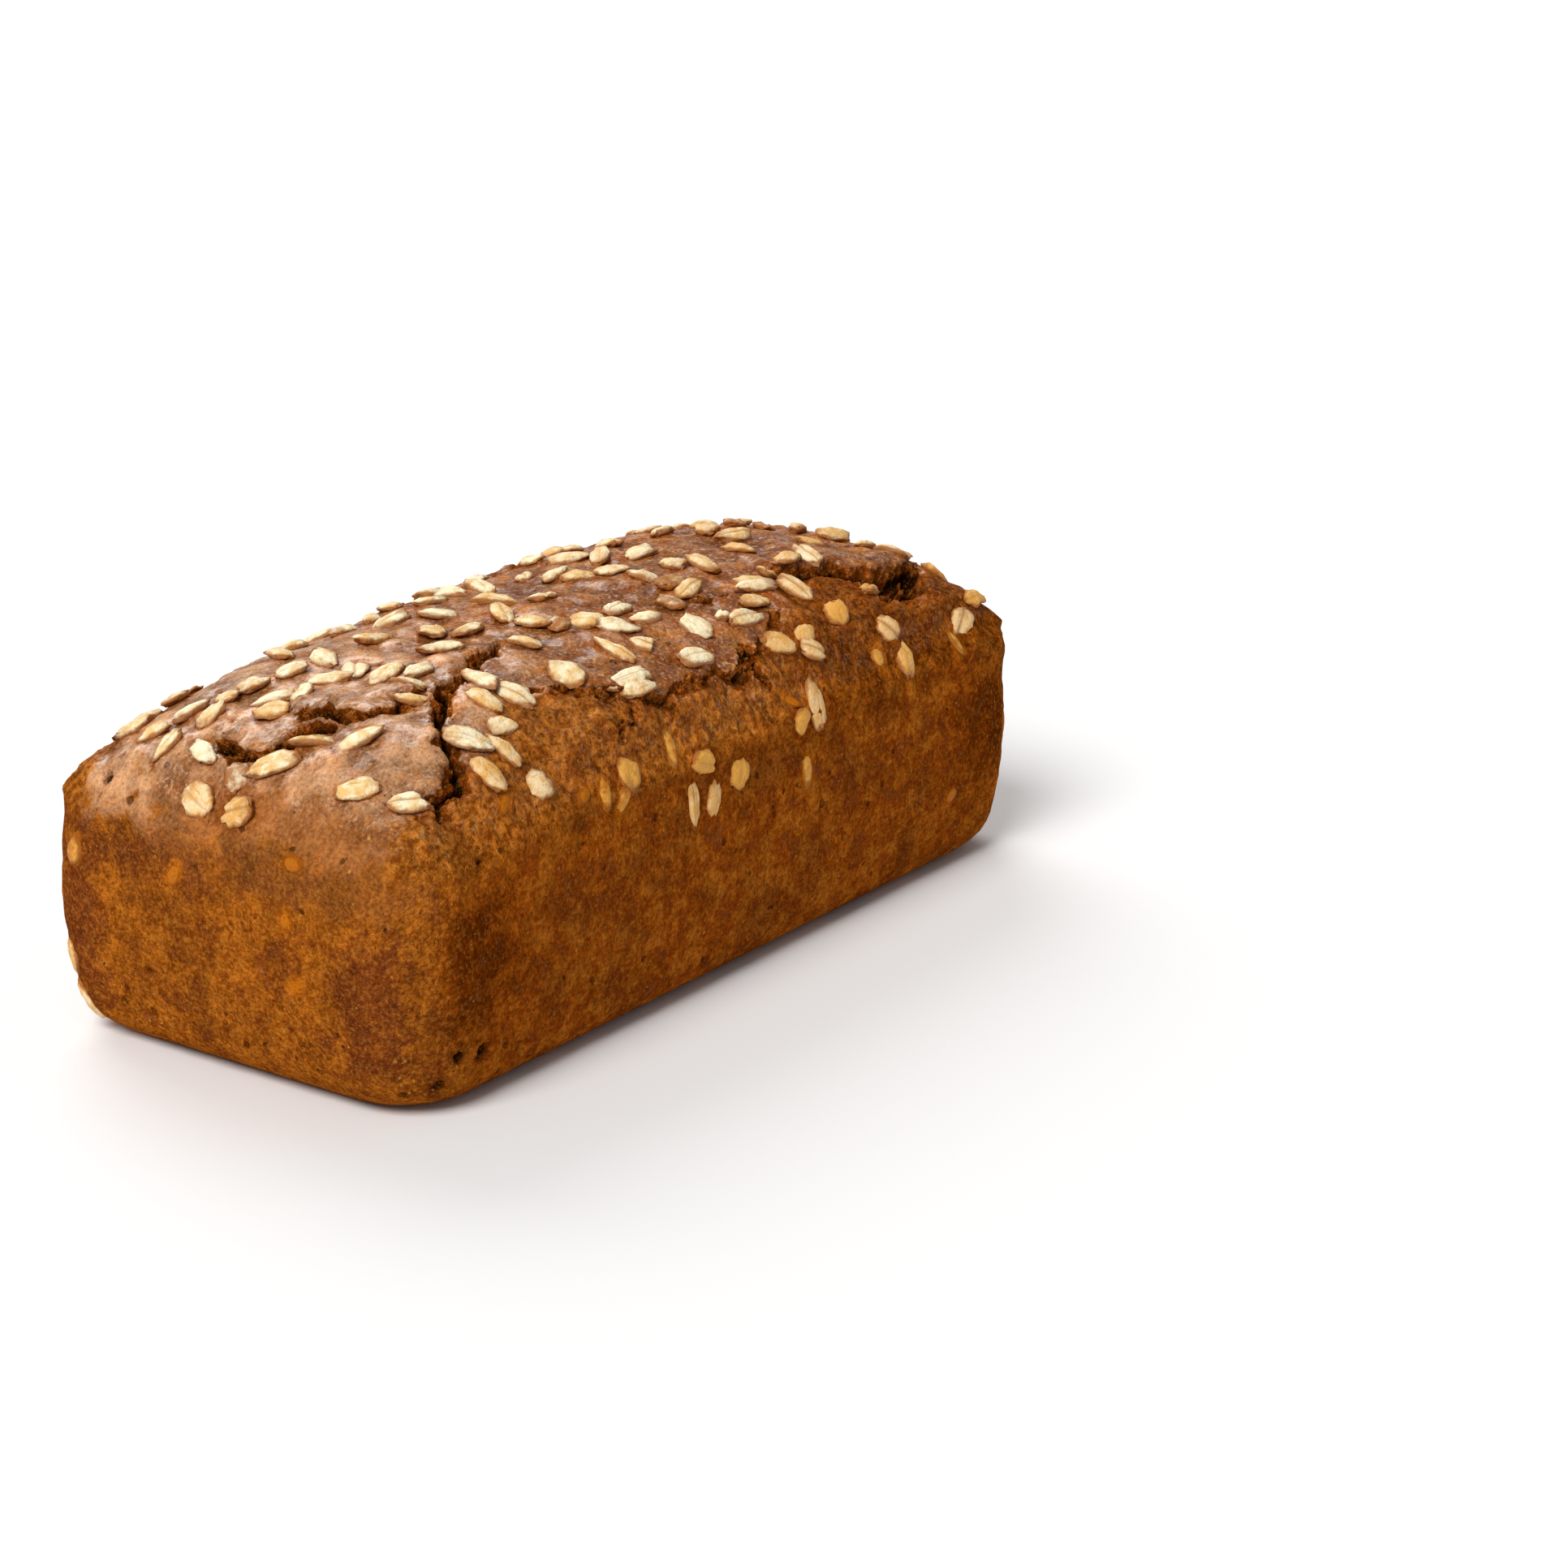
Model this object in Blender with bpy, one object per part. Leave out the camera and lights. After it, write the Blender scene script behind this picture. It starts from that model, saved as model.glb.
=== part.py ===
"""Sprouted barley tin loaf: a domed, split crust with barley flakes baked onto its crown.

Metres, +Z up. X runs along the loaf and Y across it. The origin is the middle of the flat base.
"""

import math
from collections import namedtuple

import bmesh
import bpy
import numpy as np
from mathutils import Matrix, Vector, noise
from mathutils.bvhtree import BVHTree

MM = 0.001
GOLDEN_ANGLE = math.pi * (3.0 - math.sqrt(5.0))

# Loaf: the sizes are taken where the straight walls meet the crown, unless a name says otherwise
LENGTH = 225.6 * MM
WIDTH = 105.0 * MM
BASE_LENGTH = 217.6 * MM
BASE_WIDTH = 100.5 * MM
WALL_HEIGHT = 47.5 * MM
CROWN_RISE = 31.4 * MM
CORNER_RADIUS = 17.0 * MM
BASE_EDGE_RADIUS = 9.0 * MM
WALL_BULGE = 2.0 * MM

# Crown: a higher power makes a flatter top with a tighter shoulder
CROWN_POWER_ALONG = 3.15
CROWN_POWER_ACROSS = 2.5
PEAK_SHIFT_ALONG = -0.02
PEAK_SHIFT_ACROSS = -0.12
SHOULDER_ROUNDING = 7.0 * MM
SHOULDER_SAMPLES = 40

# Faces of the block that the crust is shaped from, along X, Y and Z, and those kept afterwards
BLOCK_FACES = (150, 76, 34)
CRUST_TRIANGLES = 4300

# Unevenness of the crust
CROWN_LUMP_SIZE = 22.0 * MM
CROWN_LUMP_HEIGHT = 1.1 * MM
WALL_LUMP_SIZE = 40.0 * MM
WALL_LUMP_HEIGHT = 0.5 * MM
CRAG_SIZE = 7.0 * MM
CRAG_HEIGHT = 0.7 * MM
BURST_CRAG_HEIGHT = 1.6 * MM

# Tears: places along a tear are millimetres (x, y) seen from above. Lips rise beside the opening,
# the left lip on the left of someone walking along the tear.
Tear = namedtuple("Tear", "path width depth left_lip right_lip reach")
TEAR_STEP = 1.5 * MM
TEAR_JITTER = 1.1 * MM
TEARS = {
    "long split": Tear(
        ((-29, -11), (-45, -16), (-63, -22), (-72, -27), (-80, -35), (-85, -43), (-92, -44), (-99, -47)),
        width=2.6 * MM, depth=4.6 * MM, left_lip=0.7 * MM, right_lip=1.0 * MM, reach=7 * MM,
    ),
    "upper sheet edge": Tear(
        ((-67, -19), (-76, -19), (-81, -18), (-84, -13), (-87, -9), (-91, -3)),
        width=1.8 * MM, depth=1.6 * MM, left_lip=0.0, right_lip=1.9 * MM, reach=12 * MM,
    ),
    "lower sheet edge": Tear(
        ((-87, -15), (-94, -9), (-99, -5), (-101, 2), (-99, 12)),
        width=2.2 * MM, depth=2.6 * MM, left_lip=0.0, right_lip=2.2 * MM, reach=12 * MM,
    ),
    "near flank split": Tear(
        ((-33, -38), (-30, -43), (-33, -46), (-38, -48)),
        width=1.7 * MM, depth=2.2 * MM, left_lip=0.4 * MM, right_lip=0.4 * MM, reach=4 * MM,
    ),
    "far flank split": Tear(
        ((2, -47), (8, -45), (14, -41), (12, -47), (15, -49)),
        width=1.6 * MM, depth=2.0 * MM, left_lip=0.4 * MM, right_lip=0.4 * MM, reach=4 * MM,
    ),
    "flank skin edge": Tear(
        ((-58, -28), (-48, -33), (-38, -38), (-22, -45), (-6, -44), (8, -46), (22, -42), (38, -36)),
        width=1.6 * MM, depth=0.8 * MM, left_lip=0.7 * MM, right_lip=0.0, reach=7 * MM,
    ),
    "far burst": Tear(
        ((42, -27), (53, -27), (63, -31), (72, -34), (81, -36), (90, -35), (97, -32)),
        width=3.6 * MM, depth=3.6 * MM, left_lip=1.8 * MM, right_lip=0.0, reach=10 * MM,
    ),
    "crown crack": Tear(
        ((16, -22), (20, -26), (25, -28), (29, -27)),
        width=1.4 * MM, depth=1.8 * MM, left_lip=0.3 * MM, right_lip=0.5 * MM, reach=4 * MM,
    ),
    "burst hollow": Tear(
        ((66, -37), (74, -39), (83, -40), (91, -39)),
        width=6.0 * MM, depth=7.5 * MM, left_lip=0.0, right_lip=1.0 * MM, reach=6 * MM,
    ),
    "back skin edge": Tear(
        ((66, 39), (48, 43), (28, 40), (8, 45), (-14, 42), (-34, 45), (-58, 41), (-76, 37)),
        width=1.8 * MM, depth=1.2 * MM, left_lip=0.9 * MM, right_lip=0.0, reach=8 * MM,
    ),
    "back split": Tear(
        ((-8, 31), (6, 34), (17, 31), (30, 35), (36, 41)),
        width=2.0 * MM, depth=3.0 * MM, left_lip=0.6 * MM, right_lip=0.6 * MM, reach=6 * MM,
    ),
    "far end split": Tear(
        ((93, -14), (99, -4), (98, 8), (100, 19), (95, 28)),
        width=2.0 * MM, depth=2.6 * MM, left_lip=1.2 * MM, right_lip=0.0, reach=8 * MM,
    ),
}

# Flakes: rolled barley, oval, flat and thick
FLAKE_LENGTH = 8.6 * MM
FLAKE_WIDTH = 5.0 * MM
FLAKE_THICKNESS = 2.5 * MM
FLAKE_PROUD = 1.15 * MM
WALL_FLAKE_PROUD = 0.8 * MM
FLAKE_SIDES = 6
FLAKE_TOP_SHARE = 0.78
FLAKE_TILT = 0.16

# The flakes that show on the front of the crown: millimetres x, y, turn in degrees, length, width
CROWN_FLAKES = (
    (-98, 29, -39, 7.5, 5.5), (-102, 21, -20, 8.0, 3.6), (-102, 11, 65, 9.0, 4.0), (-91, 25, -18, 8.6, 5.0),
    (-92, 18, -5, 8.0, 4.4), (-90, 3, -70, 7.8, 7.4), (-94, -12, -57, 9.2, 4.6), (-90, -21, -25, 10.2, 4.6),
    (-102, -8, -48, 11.0, 5.2), (-101, -30, -43, 9.0, 5.0), (-97, -40, -34, 8.7, 5.0),
    (-75, -37, -46, 10.0, 6.6), (-69, -41, -73, 9.2, 3.6), (-77, -44, -72, 9.4, 5.0),
    (-64, -37, -8, 7.0, 4.6), (-65, -47, 0, 6.6, 6.2), (-55, -24, 78, 9.6, 5.4), (-61, -30, -88, 9.0, 4.8),
    (-53, -31, -88, 9.6, 5.6), (-64, -6, 0, 10.2, 5.2), (-61, -12, 10, 9.0, 4.6), (-72, -19, -47, 6.8, 4.2),
    (-48, -7, -31, 9.8, 5.2), (-70, 15, -25, 6.8, 5.8), (-71, 4, -63, 9.2, 5.2), (-83, 9, -51, 9.2, 4.4),
    (-48, 12, -11, 9.0, 5.0), (-38, -33, -94, 9.2, 6.8), (-20, -32, -92, 10.6, 3.8),
    (-11, -33, -80, 6.8, 4.8), (-3, -41, -6, 10.4, 6.0), (-25, -40, -8, 11.0, 4.8),
    (-26, -43, -6, 9.6, 3.8), (-12, -18, -68, 7.6, 7.0), (-10, -25, -35, 8.9, 5.0), (0, -25, -12, 8.0, 5.2),
    (8, -32, 84, 9.4, 6.6), (21, -37, 0, 11.4, 4.8), (35, -29, -16, 10.6, 4.2), (45, -33, -90, 9.8, 5.2),
    (24, -44, -23, 9.0, 5.2), (33, -44, 3, 6.4, 4.6), (32, -47, -41, 6.6, 5.2), (48, -42, 67, 6.4, 6.0),
    (61, -47, -53, 7.0, 5.0), (-33, 20, -12, 9.4, 5.0), (-17, 22, -12, 8.6, 4.8), (-27, 12, -54, 8.6, 4.8),
    (-38, 4, 30, 8.6, 6.2), (-33, -2, 0, 8.6, 4.8), (-3, 34, -6, 8.6, 4.6), (-5, 27, 84, 8.6, 4.6),
    (13, 34, 18, 8.6, 4.6), (1, 23, 72, 9.4, 4.6), (-11, 8, -72, 10.2, 4.0), (-19, 0, 54, 10.2, 5.0),
    (-4, 0, 48, 8.6, 6.4), (-21, -11, -84, 9.4, 4.6), (-31, -16, 78, 9.4, 5.2), (-1, -18, 6, 8.6, 4.8),
    (27, 29, 60, 9.4, 4.6), (11, 18, 50, 7.0, 4.4), (11, 9, 6, 8.6, 4.4), (12, 3, -18, 8.6, 5.6),
    (41, 28, 30, 9.4, 4.4), (27, 18, -36, 10.2, 5.0), (20, 0, 0, 9.4, 6.0), (30, 11, 36, 8.6, 4.6),
    (44, 20, 72, 8.6, 4.8), (-68, -15, -78, 7.8, 4.8), (21, -8, 48, 8.6, 6.6), (21, -16, 6, 9.4, 4.8),
    (21, -21, 12, 9.4, 4.6), (13, -22, 78, 7.8, 4.8), (34, -7, 60, 9.4, 5.4), (37, -13, 72, 10.2, 5.2),
    (56, -9, -90, 8.6, 4.6), (66, 0, -24, 9.4, 5.2), (78, 19, 36, 8.6, 4.6), (80, 10, 36, 8.6, 5.0),
    (86, 6, 36, 8.6, 5.0), (61, 17, 18, 8.6, 4.8), (67, 9, 72, 8.6, 5.0), (38, -26, -18, 9.4, 4.6),
    (29, -33, 0, 9.4, 5.2), (46, -24, 24, 8.6, 5.0), (54, -24, 6, 8.6, 5.4), (61, -25, 72, 8.6, 5.2),
    (93, 1, 36, 8.6, 4.4), (79, -13, -6, 8.6, 5.2), (67, -38, 24, 7.8, 4.4), (16, -34, 24, 5.0, 3.4),
    (38, 6, -12, 8.6, 4.8), (-78, 19, 0, 8.6, 5.2), (-84, 21, 66, 7.8, 4.8), (-80, 3, 42, 7.4, 5.2),
    (-62, 14, 72, 9.4, 5.0), (-64, 3, 42, 8.0, 6.0), (-60, 28, 72, 8.6, 4.4), (-38, 29, 6, 8.6, 4.4),
    (-29, 29, 42, 6.0, 4.0), (-105, -1, 20, 6.4, 5.4), (-19, -16, 36, 5.4, 4.6),
)

# Flakes stuck on the walls: the face, millimetres along it, height, turn in degrees, length, width
WALL_FLAKES = (
    ("side", 63, 57, 80, 8.4, 5.2), ("side", 27, 56, 84, 11.0, 5.4), ("side", 20, 54, 60, 6.0, 4.6),
    ("side", -15, 54, -20, 8.4, 5.0), ("side", -3, 48, 75, 7.0, 6.2), ("side", -12, 45, 80, 8.6, 5.0),
    ("side", -19, 46, 84, 10.0, 3.8), ("side", -40, 58, 40, 7.0, 6.4),
    ("near end", 6, 60, -25, 8.0, 6.6), ("near end", -5, 60, 15, 9.0, 6.2),
    ("near end", 50, 56, 70, 8.0, 5.0), ("near end", 45, 17, 90, 8.0, 5.6),
    ("near end", 42, 7, -50, 9.0, 5.0),
    ("back", -60, 58, 20, 8.6, 5.0), ("back", -34, 54, 75, 9.0, 5.2), ("back", -8, 59, -30, 8.0, 5.8),
    ("back", 21, 52, 60, 8.8, 4.8), ("back", 52, 57, 5, 8.4, 5.2), ("back", 70, 44, 80, 8.2, 5.0),
    ("far end", -22, 60, 15, 8.6, 5.2), ("far end", 9, 58, 70, 8.0, 5.0), ("far end", 30, 55, -20, 8.8, 4.8),
)

# Flakes strewn over the far side of the crown
STREWN_FLAKES = 40
STREWN_SEED = 17
STREWN_TRIES = 6000
STREWN_GAPS = (4.4 * MM, 12.5 * MM)
STREWN_HALF_LENGTH = 104.0 * MM
STREWN_HALF_WIDTH = 50.0 * MM
FAR_SIDE_FROM = 33.0 * MM
FAR_END_FROM = 87.0 * MM
TEAR_CLEARANCE = 3.4 * MM

CRUST_COLOUR = (0.23, 0.085, 0.020, 1.0)
CRUST_ROUGHNESS = 0.62


def clear_scene():
    for thing in list(bpy.data.objects):
        bpy.data.objects.remove(thing, do_unlink=True)


def new_collection(name):
    group = bpy.data.collections.new(name)
    bpy.context.scene.collection.children.link(group)
    return group


def crust_material():
    material = bpy.data.materials.new("baked_crust")
    material.use_nodes = True
    shader = material.node_tree.nodes["Principled BSDF"]
    shader.inputs["Base Color"].default_value = CRUST_COLOUR
    shader.inputs["Roughness"].default_value = CRUST_ROUGHNESS
    shader.inputs["Metallic"].default_value = 0.0
    return material


def add_object(name, bm, group, material):
    mesh = bpy.data.meshes.new(name)
    bm.to_mesh(mesh)
    bm.free()
    mesh.materials.append(material)
    thing = bpy.data.objects.new(name, mesh)
    group.objects.link(thing)
    return thing


def wave(points, size, seed):
    """Smooth noise from about -1 to 1 at each point, with bumps of the given size."""
    shift = Vector((3.1, 7.7, 5.3)) * seed
    return np.array([noise.noise(Vector(p) / size + shift) for p in points])


def smooth_step(value, low, high):
    share = np.clip((value - low) / (high - low), 0.0, 1.0)
    return share * share * (3.0 - 2.0 * share)


# Form of the loaf


def gridded_block():
    """A cube from -1 to 1 whose sides are cut into a grid."""
    bm = bmesh.new()
    bmesh.ops.create_cube(bm, size=2.0)
    for axis, count in enumerate(BLOCK_FACES):
        along = [e for e in bm.edges if abs(e.verts[0].co[axis] - e.verts[1].co[axis]) > 1.0]
        bmesh.ops.subdivide_edges(bm, edges=along, cuts=count - 1, use_grid_fill=True)
    return bm


def sharp_crown(x, y):
    """Height of a crown that starts square from the walls, over each place (x, y)."""
    u = np.clip(x / (LENGTH / 2), -1.0, 1.0)
    v = np.clip(y / (WIDTH / 2), -1.0, 1.0)
    u = np.abs(u - PEAK_SHIFT_ALONG * (1.0 - u * u))
    v = np.abs(v - PEAK_SHIFT_ACROSS * (1.0 - v * v))
    along = np.clip(1.0 - u**CROWN_POWER_ALONG, 0.0, 1.0) ** (1.0 / CROWN_POWER_ALONG)
    across = np.clip(1.0 - v**CROWN_POWER_ACROSS, 0.0, 1.0) ** (1.0 / CROWN_POWER_ACROSS)
    return WALL_HEIGHT + CROWN_RISE * along * across


def crown_height(x, y):
    """Height of the crown with its shoulders rounded off: the mean over a small disc."""
    height = 0.0
    for step in range(SHOULDER_SAMPLES):
        out = SHOULDER_ROUNDING * math.sqrt((step + 0.5) / SHOULDER_SAMPLES)
        turn = step * GOLDEN_ANGLE
        height = height + sharp_crown(x + out * math.cos(turn), y + out * math.sin(turn))
    return height / SHOULDER_SAMPLES


def round_corners(x, y):
    """Draws the square corners of the plan in to their radius."""
    inner_x = LENGTH / 2 - CORNER_RADIUS
    inner_y = WIDTH / 2 - CORNER_RADIUS
    core_x = np.clip(x, -inner_x, inner_x)
    core_y = np.clip(y, -inner_y, inner_y)
    out = np.hypot(x - core_x, y - core_y)
    reach = np.maximum(np.abs(x - core_x), np.abs(y - core_y))
    share = np.where(out > 1e-9, reach / np.maximum(out, 1e-9), 1.0)
    return core_x + (x - core_x) * share, core_y + (y - core_y) * share


def loaf_form(block):
    """Places on the smooth loaf for places on the cube from -1 to 1."""
    x, y = round_corners(block[:, 0] * LENGTH / 2, block[:, 1] * WIDTH / 2)
    z = (block[:, 2] + 1.0) / 2 * crown_height(x, y)
    level = np.clip(z / WALL_HEIGHT, 0.0, 1.0)
    below = np.clip(1.0 - z / BASE_EDGE_RADIUS, 0.0, 1.0)
    edge = BASE_EDGE_RADIUS * (1.0 - np.sqrt(1.0 - below * below))
    outward = WALL_BULGE * np.sin(math.pi * level) - edge
    x = x * (1.0 + (outward - (LENGTH - BASE_LENGTH) / 2 * (1.0 - level)) / (LENGTH / 2))
    y = y * (1.0 + (outward - (WIDTH - BASE_WIDTH) / 2 * (1.0 - level)) / (WIDTH / 2))
    return np.column_stack((x, y, z))


# Tears


def tear_line(tear, seed):
    """The tear's jagged path over the crown, as evenly spaced places."""
    corners = np.array(tear.path) * MM
    runs = np.hypot(*np.diff(corners, axis=0).T)
    marks = np.concatenate(([0.0], np.cumsum(runs)))
    stations = np.linspace(0.0, marks[-1], max(4, round(marks[-1] / TEAR_STEP)))
    x = np.interp(stations, marks, corners[:, 0])
    y = np.interp(stations, marks, corners[:, 1])
    places = np.column_stack((x, y, stations))
    x = x + TEAR_JITTER * wave(places, 5.0 * MM, seed)
    y = y + TEAR_JITTER * wave(places, 5.0 * MM, seed + 0.5)
    return np.column_stack((x, y, crown_height(x, y)))


def nearest_on_line(points, line):
    """Distance to the line, share of its length there, and +1 on its left or -1 on its right."""
    start = line[:-1]
    run = line[1:] - start
    distance = np.full(len(points), np.inf)
    share = np.zeros(len(points))
    side = np.zeros(len(points))
    for index in range(len(start)):
        offset = points - start[index]
        along = np.clip(offset @ run[index] / (run[index] @ run[index]), 0.0, 1.0)
        gap = offset - along[:, None] * run[index]
        here = np.linalg.norm(gap, axis=1)
        turn = run[index, 0] * gap[:, 1] - run[index, 1] * gap[:, 0]
        closer = here < distance
        distance[closer] = here[closer]
        share[closer] = (index + along[closer]) / len(start)
        side[closer] = np.sign(turn[closer])
    return distance, share, side


def tear_relief(points, tear, seed):
    """Outward move that opens one tear and lifts its lips."""
    distance, share, side = nearest_on_line(points, tear_line(tear, seed))
    fade = smooth_step(np.minimum(share, 1.0 - share), 0.0, 0.12)
    width = tear.width * (0.35 + 0.65 * fade) * (1.0 + 0.35 * wave(points, 6.0 * MM, seed + 2.0))
    opening = np.clip(1.0 - (distance / width) ** 2, 0.0, 1.0)
    lip = np.where(side > 0, tear.left_lip, tear.right_lip)
    rise = lip * np.exp(-(np.clip(distance - width, 0.0, None) / tear.reach) ** 2)
    return fade * (rise * (1.0 - opening) - tear.depth * opening)


def crust_relief(points):
    """Outward move of each place on the smooth loaf, which leaves the base flat."""
    above_wall = smooth_step(points[:, 2], 0.85 * WALL_HEIGHT, 1.15 * WALL_HEIGHT)
    off_base = smooth_step(points[:, 2], 0.0, BASE_EDGE_RADIUS)
    lumps = above_wall * CROWN_LUMP_HEIGHT * wave(points, CROWN_LUMP_SIZE, 1)
    lumps += (1.0 - above_wall) * WALL_LUMP_HEIGHT * wave(points, WALL_LUMP_SIZE, 2)
    flank = above_wall * smooth_step(np.abs(points[:, 1]), 0.36 * WIDTH, 0.43 * WIDTH)
    burst = smooth_step(points[:, 0], 0.15 * LENGTH, 0.28 * LENGTH) * (points[:, 1] < 0.0)
    crag_height = CRAG_HEIGHT + (BURST_CRAG_HEIGHT - CRAG_HEIGHT) * burst
    crags = flank * crag_height * wave(points, CRAG_SIZE, 3)
    relief = off_base * lumps + crags
    upper = points[:, 2] > WALL_HEIGHT
    for seed, tear in enumerate(TEARS.values()):
        relief[upper] += tear_relief(points[upper], tear, 10 + seed)
    return relief


def make_crust(group, material):
    crust = add_object("loaf", gridded_block(), group, material)
    mesh = crust.data
    places = np.empty(len(mesh.vertices) * 3)
    mesh.vertices.foreach_get("co", places)
    places = loaf_form(places.reshape(-1, 3))
    mesh.vertices.foreach_set("co", places.ravel())
    mesh.update()
    outward = np.array([vertex.normal for vertex in mesh.vertices])
    places += outward * crust_relief(places)[:, None]
    mesh.vertices.foreach_set("co", places.ravel())
    mesh.update()
    thin = crust.modifiers.new("fewer faces", "DECIMATE")
    thin.ratio = CRUST_TRIANGLES / (2 * len(mesh.polygons))
    apply_modifiers(crust)
    return crust


def apply_modifiers(thing):
    graph = bpy.context.evaluated_depsgraph_get()
    done = bpy.data.meshes.new_from_object(thing.evaluated_get(graph))
    old = thing.data
    thing.modifiers.clear()
    thing.data = done
    bpy.data.meshes.remove(old)


# Flakes


def landing(surface, start, aim):
    """Where something thrown at the crust lands, and which way the crust faces there."""
    place, facing, _, _ = surface.ray_cast(Vector(start), Vector(aim))
    return place, facing


def flake_matrix(place, facing, aim, turn, tilt):
    """Stands on the crust with +Z outwards and +X turned from the loaf's length, or across it on the ends."""
    along = Vector((0.0, 1.0, 0.0) if aim[0] else (1.0, 0.0, 0.0))
    along = (along - facing * along.dot(facing)).normalized()
    frame = Matrix((along, facing.cross(along), facing)).transposed().to_4x4()
    lean = Matrix.Rotation(tilt[0], 4, "X") @ Matrix.Rotation(tilt[1], 4, "Y")
    return Matrix.Translation(place) @ frame @ Matrix.Rotation(turn, 4, "Z") @ lean


def add_flake(index, matrix, length, width, proud, group, material):
    """One oval flake, half sunk in the crust, narrower at its top and a little domed."""
    bm = bmesh.new()
    bmesh.ops.create_cone(
        bm, segments=FLAKE_SIDES, radius1=0.5, radius2=0.5 * FLAKE_TOP_SHARE,
        depth=FLAKE_THICKNESS, cap_ends=True,
    )
    top = [face for face in bm.faces if face.calc_center_median().z > 0.49 * FLAKE_THICKNESS]
    crest = bmesh.ops.poke(bm, faces=top)["verts"]
    bmesh.ops.translate(bm, verts=crest, vec=(0.0, 0.0, 0.12 * FLAKE_THICKNESS))
    bmesh.ops.scale(bm, verts=bm.verts, vec=(length, width, 1.0))
    bmesh.ops.translate(bm, verts=bm.verts, vec=(0.0, 0.0, proud - FLAKE_THICKNESS / 2))
    bmesh.ops.transform(bm, matrix=matrix, verts=bm.verts)
    return add_object(f"flake_{index:03d}", bm, group, material)


def throws_at_walls():
    """Start, aim, turn, length, width and rise of each flake that is stuck on a wall."""
    far = LENGTH
    faces = {
        "side": lambda place, height: ((place, -far, height), (0, 1, 0)),
        "back": lambda place, height: ((place, far, height), (0, -1, 0)),
        "near end": lambda place, height: ((-far, place, height), (1, 0, 0)),
        "far end": lambda place, height: ((far, place, height), (-1, 0, 0)),
    }
    for face, place, height, turn, length, width in WALL_FLAKES:
        start, aim = faces[face](place * MM, height * MM)
        yield start, aim, math.radians(turn), length * MM, width * MM, WALL_FLAKE_PROUD


def strewn_places():
    """Uneven, seeded places over the far side and the far end of the crown, clear of the tears."""
    draw = np.random.default_rng(STREWN_SEED)
    taken = [(x * MM, y * MM) for x, y, _, _, _ in CROWN_FLAKES]
    tears = np.vstack([tear_line(tear, 10 + seed)[:, :2] for seed, tear in enumerate(TEARS.values())])
    found = []
    for _ in range(STREWN_TRIES):
        x = draw.uniform(-STREWN_HALF_LENGTH, STREWN_HALF_LENGTH)
        y = draw.uniform(-STREWN_HALF_WIDTH, STREWN_HALF_WIDTH)
        gap = draw.uniform(*STREWN_GAPS)
        if y < FAR_SIDE_FROM and x < FAR_END_FROM:
            continue
        if min(math.dist((x, y), other) for other in taken) < gap:
            continue
        if np.hypot(*(tears - (x, y)).T).min() < TEAR_CLEARANCE:
            continue
        taken.append((x, y))
        found.append((x, y))
        if len(found) == STREWN_FLAKES:
            break
    return found


def throws_at_crown():
    """Start, aim, turn, length, width and rise of each flake that lies on the crown."""
    above = 3 * WALL_HEIGHT
    down = (0, 0, -1)
    for x, y, turn, length, width in CROWN_FLAKES:
        start = (x * MM, y * MM, above)
        yield start, down, math.radians(turn), length * MM, width * MM, FLAKE_PROUD
    draw = np.random.default_rng(STREWN_SEED + 1)
    for x, y in strewn_places():
        turn = draw.uniform(0.0, math.pi)
        length = FLAKE_LENGTH * draw.uniform(0.8, 1.18)
        width = FLAKE_WIDTH * draw.uniform(0.78, 1.2)
        yield (x, y, above), down, turn, length, width, FLAKE_PROUD


def make_flakes(crust, group, material):
    surface = BVHTree.FromObject(crust, bpy.context.evaluated_depsgraph_get())
    draw = np.random.default_rng(STREWN_SEED + 2)
    throws = list(throws_at_walls()) + list(throws_at_crown())
    for index, (start, aim, turn, length, width, proud) in enumerate(throws):
        tilt = draw.uniform(-FLAKE_TILT, FLAKE_TILT, 2)
        place, facing = landing(surface, start, aim)
        matrix = flake_matrix(place, facing, aim, turn, tilt)
        add_flake(index, matrix, length, width, proud, group, material)


# One solid


def fuse(crust, group):
    union = crust.modifiers.new("fuse flakes", "BOOLEAN")
    union.operation = "UNION"
    union.operand_type = "COLLECTION"
    union.collection = group
    union.solver = "EXACT"
    apply_modifiers(crust)
    for flake in list(group.objects):
        bpy.data.objects.remove(flake, do_unlink=True)
    bpy.data.collections.remove(group)


def keep_largest_shell(crust):
    """Drops loose scraps and fills sealed hollows: each is a shell of its own."""
    bm = bmesh.new()
    bm.from_mesh(crust.data)
    left = set(bm.verts)
    shells = []
    while left:
        shell = set()
        edge = [left.pop()]
        while edge:
            vertex = edge.pop()
            shell.add(vertex)
            near = {link.other_vert(vertex) for link in vertex.link_edges} & left
            left -= near
            edge.extend(near)
        shells.append(shell)
    shells.sort(key=len)
    for shell in shells[:-1]:
        bmesh.ops.delete(bm, geom=list(shell), context="VERTS")
    bmesh.ops.triangulate(bm, faces=bm.faces)
    bm.to_mesh(crust.data)
    bm.free()


def main():
    clear_scene()
    loaf_parts = new_collection("barley_bread")
    flakes = new_collection("flakes")
    material = crust_material()
    crust = make_crust(loaf_parts, material)
    make_flakes(crust, flakes, material)
    fuse(crust, flakes)
    keep_largest_shell(crust)
    crust.data.shade_smooth()
    crust.data.set_sharp_from_angle(angle=math.radians(35))


main()
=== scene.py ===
"""Looks of the sprouted barley tin loaf: its crust, the rolled flakes on it and the grains baked into it.

Metres, +Z up, in the frame of the solid loaf. X runs along the loaf from its near end to its far end, and
its front long side is at -Y.
"""

import math
from collections import namedtuple
from contextlib import contextmanager

import bpy
import numpy as np
from mathutils import Matrix, Vector, noise
from mathutils.bvhtree import BVHTree


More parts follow.
